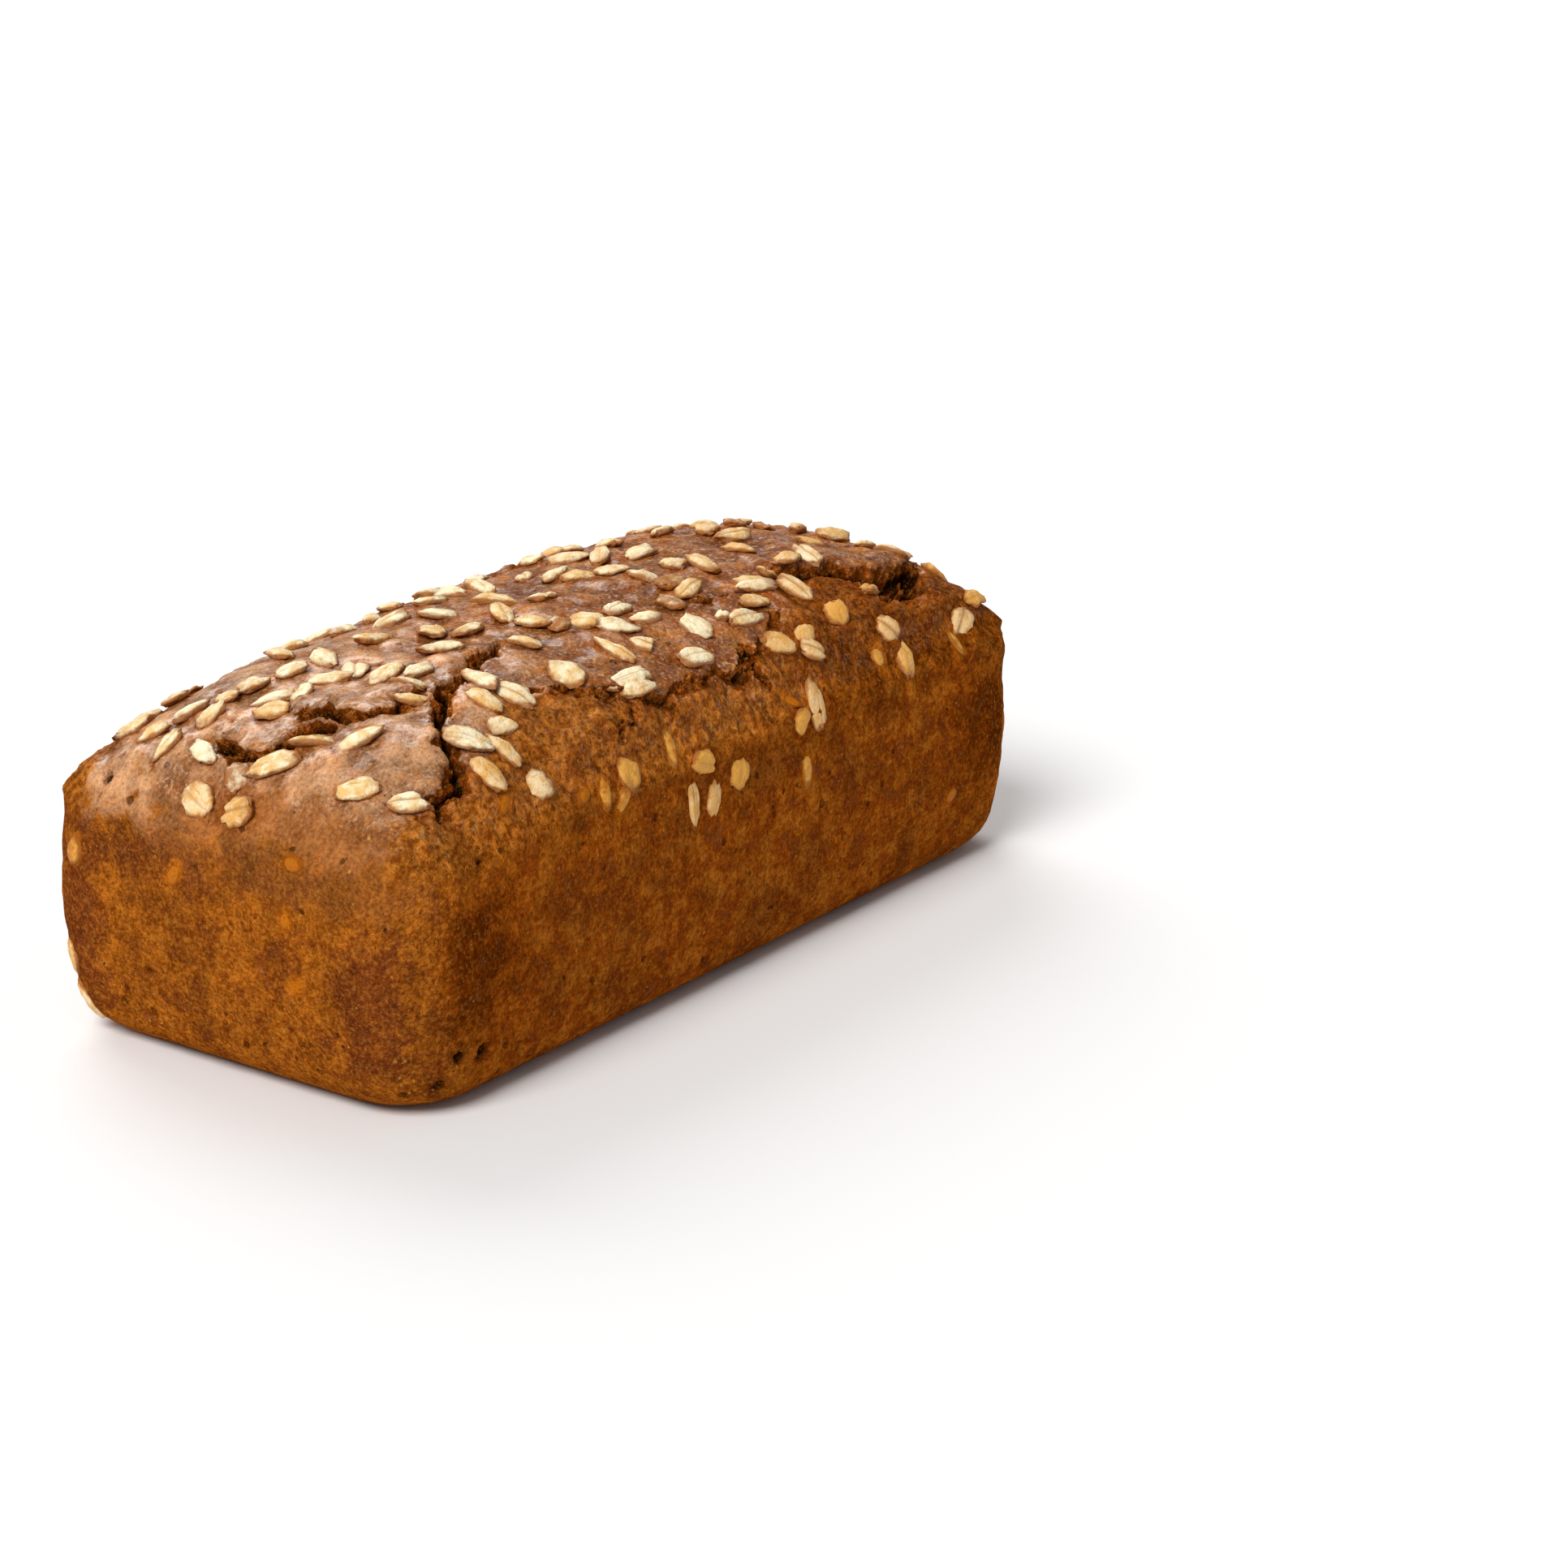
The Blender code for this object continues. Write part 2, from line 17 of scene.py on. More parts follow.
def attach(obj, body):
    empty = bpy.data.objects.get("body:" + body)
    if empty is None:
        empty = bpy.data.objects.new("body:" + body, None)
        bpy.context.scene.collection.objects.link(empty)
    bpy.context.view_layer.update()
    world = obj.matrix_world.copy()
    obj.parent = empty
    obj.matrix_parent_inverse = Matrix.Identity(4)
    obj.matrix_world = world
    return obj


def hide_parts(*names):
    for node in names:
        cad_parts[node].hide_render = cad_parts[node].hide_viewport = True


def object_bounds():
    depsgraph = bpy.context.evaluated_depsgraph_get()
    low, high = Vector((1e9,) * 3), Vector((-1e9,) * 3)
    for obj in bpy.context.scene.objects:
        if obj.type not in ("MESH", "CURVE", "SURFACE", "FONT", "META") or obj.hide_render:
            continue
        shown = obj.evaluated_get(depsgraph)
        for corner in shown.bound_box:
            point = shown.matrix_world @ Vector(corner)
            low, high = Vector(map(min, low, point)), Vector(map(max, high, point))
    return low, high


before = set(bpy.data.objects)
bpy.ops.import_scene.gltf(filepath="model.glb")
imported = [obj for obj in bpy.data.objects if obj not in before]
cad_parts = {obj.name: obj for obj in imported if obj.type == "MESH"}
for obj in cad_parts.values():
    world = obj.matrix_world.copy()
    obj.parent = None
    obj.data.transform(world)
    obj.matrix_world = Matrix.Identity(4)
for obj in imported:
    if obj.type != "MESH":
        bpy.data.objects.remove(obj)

MM = 0.001
GOLDEN_ANGLE = math.pi * (3.0 - math.sqrt(5.0))

# Camera, from the photo's outline of the loaf: its focal length is in the photo's pixels
PHOTO_PIXELS = 1932
FOCAL_PIXELS = 5200
SENSOR_WIDTH_MM = 36.0
CAMERA_PLACE = (-0.6992, -0.5688, 0.3443)
CAMERA_HEADING = math.radians(35.91)
CAMERA_PITCH = math.radians(19.01)

# Studio: each light's azimuth and elevation say where it stands, in degrees from +X and above the floor
FLOOR_SIZE = 12.0
Lamp = namedtuple("Lamp", "azimuth elevation strength softness")
LAMPS = {
    "key_light": Lamp(azimuth=-172, elevation=48, strength=2.6, softness=30),
    "crown_light": Lamp(azimuth=60, elevation=38, strength=1.3, softness=40),
}
ROOM_STRENGTH = 0.3

# Loaf: the sizes are taken where the straight walls meet the crown, unless a name says otherwise
LENGTH = 225.6 * MM
WIDTH = 105.0 * MM
BASE_LENGTH = 217.6 * MM
BASE_WIDTH = 100.5 * MM
WALL_HEIGHT = 47.5 * MM
CROWN_RISE = 31.4 * MM
CORNER_RADIUS = 17.0 * MM
BASE_EDGE_RADIUS = 9.0 * MM
WALL_BULGE = 2.0 * MM

# Crown: a higher power makes a flatter top with a tighter shoulder
CROWN_POWER_ALONG = 3.15
CROWN_POWER_ACROSS = 2.5
PEAK_SHIFT_ALONG = -0.02
PEAK_SHIFT_ACROSS = -0.12
SHOULDER_ROUNDING = 7.0 * MM
SHOULDER_SAMPLES = 40

# Cuts through the block that the crust is shaped from, one round after another, along X, Y and Z
BLOCK_CUTS = ((1, 83), (79,), (29,))
BASE_MARGIN = 0.9
UNDERSIDE = -0.999

# Rounds of finer faces: how near to a tear, how near to a pit in its radii, and whether on the flanks too
FINER_ROUNDS = ((2.6 * MM, 2.0, True), (1.2 * MM, 1.3, False))

# Zones of the crust, from where they begin to where they are full
UPPER_FROM = 0.9 * WALL_HEIGHT
ABOVE_WALL = (0.85 * WALL_HEIGHT, 1.15 * WALL_HEIGHT)
FLANK = (0.36 * WIDTH, 0.43 * WIDTH)
BURST = (0.15 * LENGTH, 0.28 * LENGTH)
TORN_FLANK_INSIDE = 0.365 * WIDTH
TORN_FLANK_FOOT = 0.98 * WALL_HEIGHT
TORN_FLANK_END = 0.455 * LENGTH

# Unevenness of the crust, as (size of a bump, height of a bump, seed)
CROWN_LUMPS = ((22.0 * MM, 1.1 * MM, 1),)
WALL_LUMPS = ((40.0 * MM, 0.5 * MM, 2), (3.4 * MM, 0.3 * MM, 8))
CRAGS = (7.0 * MM, 0.7 * MM, 3)
BURST_CRAG_HEIGHT = 1.6 * MM
SMALL_CRAGS = ((3.4 * MM, 1.3 * MM, 4), (1.6 * MM, 0.7 * MM, 5))
SKIN_WRINKLES = ((9.0 * MM, 0.8 * MM, 6), (3.8 * MM, 0.6 * MM, 7))
RELIEF_HEIGHT = 0.8 * MM
FLANK_ROUGHNESS = 0.5
SEED_STRIDE = (3.1, 7.7, 5.3)

# Tears: a path is millimetres (x, y) seen from above, and the sizes are millimetres. The lips rise beside
# the opening and lean over it, the left lip on the left of someone walking along the path.
Tear = namedtuple("Tear", "width depth left_lip right_lip reach path")
TEARS = {
    "long split": Tear(
        2.6, 4.6, 0.7, 1.0, 7,
        ((-29, -11), (-45, -16), (-63, -22), (-72, -27), (-80, -35), (-85, -43), (-92, -44), (-99, -47)),
    ),
    "upper sheet edge": Tear(
        1.8, 1.6, 0.0, 1.9, 12, ((-67, -19), (-76, -19), (-81, -18), (-84, -13), (-87, -9), (-91, -3))
    ),
    "lower sheet edge": Tear(
        2.2, 2.6, 0.0, 2.2, 12, ((-87, -15), (-94, -9), (-99, -5), (-101, 2), (-99, 12))
    ),
    "near flank split": Tear(1.7, 2.2, 0.4, 0.4, 4, ((-33, -38), (-30, -43), (-33, -46), (-38, -48))),
    "far flank split": Tear(1.6, 2.0, 0.4, 0.4, 4, ((2, -47), (8, -45), (14, -41), (12, -47), (15, -49))),
    "flank skin edge": Tear(
        1.6, 0.8, 0.7, 0.0, 7,
        ((-58, -28), (-48, -33), (-38, -38), (-22, -45), (-6, -44), (8, -46), (22, -42), (38, -36)),
    ),
    "far burst": Tear(
        3.6, 3.6, 1.8, 0.0, 10,
        ((42, -27), (53, -27), (63, -31), (72, -34), (81, -36), (90, -35), (97, -32)),
    ),
    "crown crack": Tear(1.4, 1.8, 0.3, 0.5, 4, ((16, -22), (20, -26), (25, -28), (29, -27))),
    "burst hollow": Tear(6.0, 7.5, 0.0, 1.0, 6, ((66, -37), (74, -39), (83, -40), (91, -39))),
    "back skin edge": Tear(
        1.8, 1.2, 0.9, 0.0, 8,
        ((66, 39), (48, 43), (28, 40), (8, 45), (-14, 42), (-34, 45), (-58, 41), (-76, 37)),
    ),
    "back split": Tear(2.0, 3.0, 0.6, 0.6, 6, ((-8, 31), (6, 34), (17, 31), (30, 35), (36, 41))),
    "far end split": Tear(2.0, 2.6, 1.2, 0.0, 8, ((93, -14), (99, -4), (98, 8), (100, 19), (95, 28))),
}

# Where the crown's skin ends at the near corner, before the tears along the flank take over
FRONT_SKIN_EDGE = ((-96, -42), (-72, -40))

# Course of a tear, and how ragged it is, as (size, push, step of the seed)
TEAR_STEP = 1.5 * MM
TEAR_JITTER = 1.1 * MM
TEAR_JITTER_SIZE = 5.0 * MM
TEAR_SEED = 10
TEAR_RAGS = ((5.0 * MM, 2.2 * MM, 0.2), (2.0 * MM, 1.1 * MM, 0.4), (0.9 * MM, 0.5 * MM, 0.6))
TEAR_JAGS = ((6.0 * MM, 0.45, 2.0),)
TEAR_FLOOR = ((3.0 * MM, 0.4, 5.0),)
RAG_SEED = 5

# Across a tear: torn ground as a band, with the open gap within it. A tear closes over its tips.
BAND_WIDTH = 1.25
BAND_DEPTH = 0.4
BAND_SLOPE = 0.4
GAP_WIDTH = 0.62
GAP_SLOPE = 0.5
TIP_SHARE = 0.12
TIP_WIDTH = 0.35
TEAR_ROOM = 2.2
LIP_LEAN = 0.9
LIP_LEAN_REACH = 2.2 * MM
LIP_EDGE_REACH = 1.1 * MM
# Painted shade at the bottom of a tear: full from this depth, and no less than this share in a shallow one
DARK_TEAR = 2.4 * MM
LEAST_DARK = 0.3

# Pits where the dough held a bubble, on each face: millimetres along it, height, then radius and depth
PITS = {
    "side": (
        (-15, 8, 1.5, 1.8), (-97, 13, 2.2, 2.0), (-90, 12, 2.6, 2.0), (-101, 7, 2.0, 1.6), (-78, 9, 2.2, 1.2),
        (-89, 53, 1.6, 1.8),
    ),
    "near end": (
        (33, 59, 1.5, 3.0), (-24, 43, 1.4, 1.3), (5, 46, 1.3, 1.2), (20, 20, 1.5, 1.2), (-37, 33, 1.2, 1.0),
        (-32, 24, 1.2, 1.0),
    ),
    "back": ((64, 21, 1.6, 1.5), (-30, 34, 1.4, 1.2), (-92, 11, 2.2, 1.8)),
    "far end": ((-30, 38, 1.5, 1.4), (12, 14, 1.7, 1.4), (40, 9, 2.2, 1.8)),
}

# Pits of this depth and more get full painted shade, as at the bottom of a tear, and their rims waver
DARK_DEPTH = 3.0 * MM
DARK_HOLLOW = (0.1, 0.9)
PIT_WAVER = ((1.6 * MM, 0.3, 9.0),)

# Flakes: rolled barley, oval, flat and thick
FLAKE_LENGTH = 8.6 * MM
FLAKE_WIDTH = 5.0 * MM
FLAKE_THICKNESS = 2.6 * MM
FLAKE_PROUD = 1.85 * MM
WALL_FLAKE_PROUD = 0.95 * MM
FLANK_FLAKE_PROUD = 1.4 * MM
FLAKE_TILT = 0.16
FLAKE_SEGMENTS = 16
FLAKE_RINGS = 14
CREASED_SHARE = 0.6
BROKEN_SHARE = 0.12
# Reach of the darker ring round a flake, in its half sizes: partly oily stain, partly painted contact shadow
HALO_REACH = (0.9, 1.7)
ROUND_FLAKE = 0.72
SLIM_FLAKE = 0.45

# A flake lies on the mean of the crust a step to each side, where that isn't further up or down than this
LEVEL_STEP = 1.5 * MM
LEVEL_REACH = 2.5 * MM

# Shape of a flake before it is sized: how blunt its ends are, how plump it is, and where and how slanted
# a broken one ends
Kernel = namedtuple("Kernel", "blunt plump cut")
FLAKE_KINDS = {
    "whole": Kernel(blunt=2.2, plump=1.0, cut=None),
    "round": Kernel(blunt=2.1, plump=0.9, cut=None),
    "slim": Kernel(blunt=2.4, plump=1.1, cut=None),
    "broken": Kernel(blunt=2.4, plump=1.0, cut=(0.26, 0.35)),
}
FLAKE_TIP = 0.97
FLAKE_TOP = (-0.05, 0.42)

# How one flake differs from the next: shares of its own size, unless they are lengths
FLAKE_SEED = 0.31
TOP_LINE_WIDTH = 0.02
TOP_LINE_FROM = 0.1
CREASES = (0.1, 0.22)
CREASE_SWAY = 0.07
CREASE_FADE = 0.6
OUTLINE_SIZE = 1.07
OUTLINE_BUMPS = ((0.5, 0.21, 0.0), (0.2, 0.25, 0.5))
THICKNESSES = (0.85, 1.15)
BENDS = (-0.6 * MM, 0.2 * MM)
TWISTS = (-0.4 * MM, 0.4 * MM)
FLAKE_LUMPS = ((2.1 * MM, 0.3 * MM, 0.7), (1.1 * MM, 0.16 * MM, 0.9))
TOASTED_END = (0.2, 1.0)
TOASTED_TIP = (0.82, 1.0)
TIP_TOAST = 0.6
LEAST_GOLD = 0.7
RIPE_GOLD = 0.6

# The flakes that show on the front of the crown: millimetres x, y, turn in degrees, length, width
CROWN_FLAKES = (
    (-98, 29, -39, 7.5, 5.5), (-102, 21, -20, 8.0, 3.6), (-102, 11, 65, 9.0, 4.0), (-91, 25, -18, 8.6, 5.0),
    (-92, 18, -5, 8.0, 4.4), (-90, 3, -70, 7.8, 7.4), (-94, -12, -57, 9.2, 4.6), (-90, -21, -25, 10.2, 4.6),
    (-102, -8, -48, 11.0, 5.2), (-101, -30, -43, 9.0, 5.0), (-97, -40, -34, 8.7, 5.0),
    (-75, -37, -46, 10.0, 6.6), (-69, -41, -73, 9.2, 3.6), (-77, -44, -72, 9.4, 5.0),
    (-64, -37, -8, 7.0, 4.6), (-65, -47, 0, 6.6, 6.2), (-55, -24, 78, 9.6, 5.4), (-61, -30, -88, 9.0, 4.8),
    (-53, -31, -88, 9.6, 5.6), (-64, -6, 0, 10.2, 5.2), (-61, -12, 10, 9.0, 4.6), (-72, -19, -47, 6.8, 4.2),
    (-48, -7, -31, 9.8, 5.2), (-70, 15, -25, 6.8, 5.8), (-71, 4, -63, 9.2, 5.2), (-83, 9, -51, 9.2, 4.4),
    (-48, 12, -11, 9.0, 5.0), (-38, -33, -94, 9.2, 6.8), (-20, -32, -92, 10.6, 3.8),
    (-11, -33, -80, 6.8, 4.8), (-3, -41, -6, 10.4, 6.0), (-25, -40, -8, 11.0, 4.8),
    (-26, -43, -6, 9.6, 3.8), (-12, -18, -68, 7.6, 7.0), (-10, -25, -35, 8.9, 5.0), (0, -25, -12, 8.0, 5.2),
    (8, -32, 84, 9.4, 6.6), (21, -37, 0, 11.4, 4.8), (35, -29, -16, 10.6, 4.2), (45, -33, -90, 9.8, 5.2),
    (24, -44, -23, 9.0, 5.2), (33, -44, 3, 6.4, 4.6), (32, -47, -41, 6.6, 5.2), (48, -42, 67, 6.4, 6.0),
    (61, -47, -53, 7.0, 5.0), (-33, 20, -12, 9.4, 5.0), (-17, 22, -12, 8.6, 4.8), (-27, 12, -54, 8.6, 4.8),
    (-38, 4, 30, 8.6, 6.2), (-33, -2, 0, 8.6, 4.8), (-3, 34, -6, 8.6, 4.6), (-5, 27, 84, 8.6, 4.6),
    (13, 34, 18, 8.6, 4.6), (1, 23, 72, 9.4, 4.6), (-11, 8, -72, 10.2, 4.0), (-19, 0, 54, 10.2, 5.0),
    (-4, 0, 48, 8.6, 6.4), (-21, -11, -84, 9.4, 4.6), (-31, -16, 78, 9.4, 5.2), (-1, -18, 6, 8.6, 4.8),
    (27, 29, 60, 9.4, 4.6), (11, 18, 50, 7.0, 4.4), (11, 9, 6, 8.6, 4.4), (12, 3, -18, 8.6, 5.6),
    (41, 28, 30, 9.4, 4.4), (27, 18, -36, 10.2, 5.0), (20, 0, 0, 9.4, 6.0), (30, 11, 36, 8.6, 4.6),
    (44, 20, 72, 8.6, 4.8), (-68, -15, -78, 7.8, 4.8), (21, -8, 48, 8.6, 6.6), (21, -16, 6, 9.4, 4.8),
    (21, -21, 12, 9.4, 4.6), (13, -22, 78, 7.8, 4.8), (34, -7, 60, 9.4, 5.4), (37, -13, 72, 10.2, 5.2),
    (56, -9, -90, 8.6, 4.6), (66, 0, -24, 9.4, 5.2), (78, 19, 36, 8.6, 4.6), (80, 10, 36, 8.6, 5.0),
    (86, 6, 36, 8.6, 5.0), (61, 17, 18, 8.6, 4.8), (67, 9, 72, 8.6, 5.0), (38, -26, -18, 9.4, 4.6),
    (29, -33, 0, 9.4, 5.2), (46, -24, 24, 8.6, 5.0), (54, -24, 6, 8.6, 5.4), (61, -25, 72, 8.6, 5.2),
    (93, 1, 36, 8.6, 4.4), (79, -13, -6, 8.6, 5.2), (67, -38, 24, 7.8, 4.4), (16, -34, 24, 5.0, 3.4),
    (38, 6, -12, 8.6, 4.8), (-78, 19, 0, 8.6, 5.2), (-84, 21, 66, 7.8, 4.8), (-80, 3, 42, 7.4, 5.2),
    (-62, 14, 72, 9.4, 5.0), (-64, 3, 42, 8.0, 6.0), (-60, 28, 72, 8.6, 4.4), (-38, 29, 6, 8.6, 4.4),
    (-29, 29, 42, 6.0, 4.0), (-105, -1, 20, 6.4, 5.4), (-19, -16, 36, 5.4, 4.6),
)

# Which of these are browned all over
BROWNED_FLAKES = ((21, -16), (80, 10), (86, 6), (13, -22), (-105, -1), (-19, -16))

# How golden the flakes have baked, from 0 to 1: on the long walls, on the ends, and what the far part of
# the crown and the bare flanks each add
SIDE_GOLDEN = 0.85
END_GOLDEN = 0.45
FAR_GOLDEN = 0.35
FLANK_GOLDEN = 0.4
FAR_CROWN = (-0.1 * LENGTH, 0.3 * LENGTH)
BARE_FLANK = (-3.0 * MM, 3.0 * MM)

# Flakes stuck on each wall: millimetres along it, height, turn in degrees, length, width
WALL_FLAKES = {
    "side": (
        (63, 57, 80, 8.4, 5.2), (27, 56, 84, 11.0, 5.4), (20, 54, 60, 6.0, 4.6), (-15, 54, -20, 8.4, 5.0),
        (-3, 48, 75, 7.0, 6.2), (-12, 45, 80, 8.6, 5.0), (-19, 46, 84, 10.0, 3.8), (-40, 58, 40, 7.0, 6.4),
    ),
    "near end": (
        (6, 60, -25, 8.6, 7.0), (-5, 60, 15, 10.4, 6.8), (50, 56, 70, 8.0, 5.0), (45, 17, 90, 8.0, 5.6),
        (42, 7, -50, 9.0, 5.0),
    ),
    "back": (
        (-60, 58, 20, 8.6, 5.0), (-34, 54, 75, 9.0, 5.2), (-8, 59, -30, 8.0, 5.8), (21, 52, 60, 8.8, 4.8),
        (52, 57, 5, 8.4, 5.2), (70, 44, 80, 8.2, 5.0),
    ),
    "far end": ((-22, 60, 15, 8.6, 5.2), (9, 58, 70, 8.0, 5.0), (30, 55, -20, 8.8, 4.8)),
}

# Flakes strewn over the far side of the crown
STREWN_FLAKES = 40
STREWN_SEED = 17
STREWN_TRIES = 6000
STREWN_GAPS = (4.4 * MM, 12.5 * MM)
STREWN_HALF_LENGTH = 104.0 * MM
STREWN_HALF_WIDTH = 50.0 * MM
FAR_SIDE_FROM = 33.0 * MM
FAR_END_FROM = 87.0 * MM
TEAR_CLEARANCE = 3.4 * MM
STREWN_LENGTHS = (0.8, 1.18)
STREWN_WIDTHS = (0.78, 1.2)

# Whole grains baked into each face, mostly sunk: millimetres along it, height, turn in degrees, length,
# width, and how far they stand out
GRAINS = {
    "near end": (
        (40, 43, 70, 7.4, 5.0, 0.75), (11, 44, 60, 6.6, 4.2, 0.3), (-22, 53, 10, 7.4, 4.2, 0.35),
        (-20, 41, 80, 5.6, 3.8, 0.3), (-22, 27, 40, 6.4, 4.0, 0.3),
    ),
    "side": (
        (-48, 56, 75, 8.6, 3.8, 0.5), (-43, 53, 60, 8.8, 3.8, 0.5), (-24, 59, 78, 9.4, 4.0, 0.6),
        (22, 42, 84, 8.6, 4.0, 0.5), (55, 59, 70, 8.6, 4.2, 0.6), (84, 56, 80, 7.4, 4.0, 0.6),
        (-77, 61, 40, 6.6, 3.2, 0.4), (-54, 57, 30, 6.2, 3.2, 0.4), (104, 31, 80, 7.6, 3.8, 0.4),
    ),
}
GRAIN_SEED = 41
GRAIN_SEGMENTS = 12
GRAIN_RINGS = 8
GRAIN_FULLER_END = 0.22
GRAIN_SLIM_ENDS = 0.35
GRAIN_TOP = (0.22, 0.48)
GRAIN_FLATNESS = 0.42
GRAIN_RIPENESS = 0.3
SUNK_GRAIN = 0.45
SUNK_RIPENESS = 0.7
KERNEL_EDGE = (0.6, 1.6)

# Grains strewn over the other walls, in millimetres as in the table above
STREWN_GRAINS = 16
STREWN_GRAIN_FACES = ("side", "back", "far end", "back")
GRAIN_SIDE_REACH = 100.0
GRAIN_END_REACH = 44.0
GRAIN_HEIGHTS = (8.0, 60.0)
GRAIN_LENGTHS = (4.76, 7.48)
GRAIN_WIDTHS = (2.56, 3.84)
GRAIN_RISES = (0.15, 0.4)


def tone(red, green, blue):
    """A colour as a screen shows it, from 0 to 255, turned into the light that a surface gives back."""
    shares = [value / 255.0 for value in (red, green, blue)]
    return tuple(s / 12.92 if s <= 0.04045 else ((s + 0.055) / 1.055) ** 2.4 for s in shares) + (1.0,)


# Colours of the crust
WALL_GOLD = tone(170, 96, 26)
WALL_BROWN = tone(134, 66, 8)
WALL_FLECK = tone(200, 126, 56)
WALL_RUST = tone(142, 60, 2)
WALL_MAUVE = tone(110, 49, 22)
CORNER_DARK = tone(80, 30, 2)
SHOULDER_LIGHT_AND_SHADE = tone(152, 88, 38)
SKIN_TAN = tone(178, 110, 50)
SKIN_MAUVE = tone(138, 82, 54)
SKIN_DARK = tone(122, 58, 10)
SKIN_PAINTED_SHEEN = tone(210, 159, 116)
SKIN_SPECKS_AND_GLINTS = tone(230, 184, 142)
FLANK_GOLD = tone(178, 104, 34)
FLANK_BROWN = tone(130, 66, 12)
FLANK_SPECK = tone(212, 152, 80)
FLANK_FAR_SHADE = tone(212, 192, 134)
KERNEL_GOLD = tone(184, 98, 14)
SKIN_RUST = tone(140, 65, 8)
TORN_ORANGE = tone(160, 84, 26)
TORN_BROWN = tone(100, 42, 4)
TORN_CRUMB = tone(214, 160, 92)
TORN_DEEP_SHADE = tone(36, 12, 2)
SPECK_PALE = tone(228, 162, 70)
SPECK_DARK = tone(70, 24, 2)
PORE_SHADE = tone(48, 18, 2)

# Colours of the flakes and grains
FLAKE_PALE = tone(255, 243, 205)
FLAKE_GOLD = tone(238, 192, 120)
FLAKE_AMBER = tone(224, 160, 66)
FLAKE_TOAST = tone(160, 94, 38)
FLAKE_LINE = tone(170, 112, 50)
GRAIN_AMBER = tone(222, 158, 72)
GRAIN_BROWN = tone(182, 102, 16)
FLOOR_PALE = tone(244, 243, 242)

# Mottling, as (size, detail, roughness)
BROAD = (14.0 * MM, 3.0, 0.55)
PATCHY = (8.0 * MM, 4.0, 0.65)
LUMPY = (5.0 * MM, 4.0, 0.6)
GLOSSY = (3.2 * MM, 3.0, 0.6)
VEINED = (2.6 * MM, 4.0, 0.7)
GRAINY = (1.9 * MM, 4.0, 0.6)
SMALL = (1.1 * MM, 2.0, 0.6)
DUSTY = (0.9 * MM, 2.0, 0.6)
FLAKE_BLOTCHES = (2.4 * MM, 3.0, 0.6)
GRAIN_BLOTCHES = (2.0 * MM, 3.0, 0.6)

# Specks, bran and pores, and the height of the fine relief
CRUST_SPECK_SIZE = 0.8 * MM
FLAKE_SPECK_SIZE = 0.7 * MM
GRAIN_SPECK_SIZE = 0.6 * MM
BRAN_SPACING = 1.6 * MM
PORE_SPACING = 4.6 * MM
CRUST_RELIEF = 1.0 * MM
FLAKE_RELIEF = 0.85 * MM
GRAIN_RELIEF = 0.4 * MM


# Working with meshes


def values_of(parts, name):
    """One vector for each part of a mesh."""
    values = np.empty(len(parts) * 3)
    parts.foreach_get(name, values)
    return values.reshape(-1, 3)


def vertex_places(mesh):
    return values_of(mesh.vertices, "co")


def vertex_normals(mesh):
    return values_of(mesh.vertices, "normal")


def face_centres(mesh):
    return values_of(mesh.polygons, "center")


def put_vertices(mesh, places):
    mesh.vertices.foreach_set("co", np.ascontiguousarray(places).ravel())
    mesh.update()


def edges_along(mesh, axis):
    """Which edges of a block run along one axis."""
    ends = np.empty(len(mesh.edges) * 2, np.int32)
    mesh.edges.foreach_get("vertices", ends)
    places = vertex_places(mesh)
    run = np.abs(places[ends[0::2]] - places[ends[1::2]])
    return run[:, axis] > 0.5 * run.sum(axis=1)


@contextmanager
def editing(piece, kind, picked):
    """Edit mode, with these vertices, edges or polygons selected and nothing else."""
    mesh = piece.data
    for parts in (mesh.vertices, mesh.edges, mesh.polygons):
        parts.foreach_set("select", np.zeros(len(parts), bool))
    getattr(mesh, kind).foreach_set("select", picked)
    kinds = ("vertices", "edges", "polygons")
    bpy.context.tool_settings.mesh_select_mode = [kind == name for name in kinds]
    bpy.ops.object.mode_set(mode="EDIT")
    yield
    bpy.ops.object.mode_set(mode="OBJECT")


def mark_vertices(mesh, name, values):
    """Stores one number for each vertex, for the finishes to read."""
    layer = mesh.attributes.get(name) or mesh.attributes.new(name, "FLOAT", "POINT")
    layer.data.foreach_set("value", np.broadcast_to(values, len(mesh.vertices)).astype(np.float32))


def wave(points, size, seed):
    """Smooth noise from about -1 to 1 at each point, with bumps of the given size."""
    shift = Vector(SEED_STRIDE) * seed
    return np.array([noise.noise(Vector(p) / size + shift) for p in points])


def waves(points, bumps, seed=0):
    """Several sizes of bumps added up, each as (size, height, step of the seed)."""
    return sum(height * wave(points, size, seed + step) for size, height, step in bumps)


def smooth_step(value, low, high):
    share = np.clip((value - low) / (high - low), 0.0, 1.0)
    return share * share * (3.0 - 2.0 * share)


def hump(value, low, full, ebb, end):
    """From 0 up to 1 and back to 0."""
    return smooth_step(value, low, full) * (1.0 - smooth_step(value, ebb, end))


# Form of the loaf, as in the solid


def sharp_crown(x, y):
    """Height of a crown that starts square from the walls, over each place (x, y)."""
    u = np.clip(x / (LENGTH / 2), -1.0, 1.0)
    v = np.clip(y / (WIDTH / 2), -1.0, 1.0)
    u = np.abs(u - PEAK_SHIFT_ALONG * (1.0 - u * u))
    v = np.abs(v - PEAK_SHIFT_ACROSS * (1.0 - v * v))
    along = np.clip(1.0 - u**CROWN_POWER_ALONG, 0.0, 1.0) ** (1.0 / CROWN_POWER_ALONG)
    across = np.clip(1.0 - v**CROWN_POWER_ACROSS, 0.0, 1.0) ** (1.0 / CROWN_POWER_ACROSS)
    return WALL_HEIGHT + CROWN_RISE * along * across


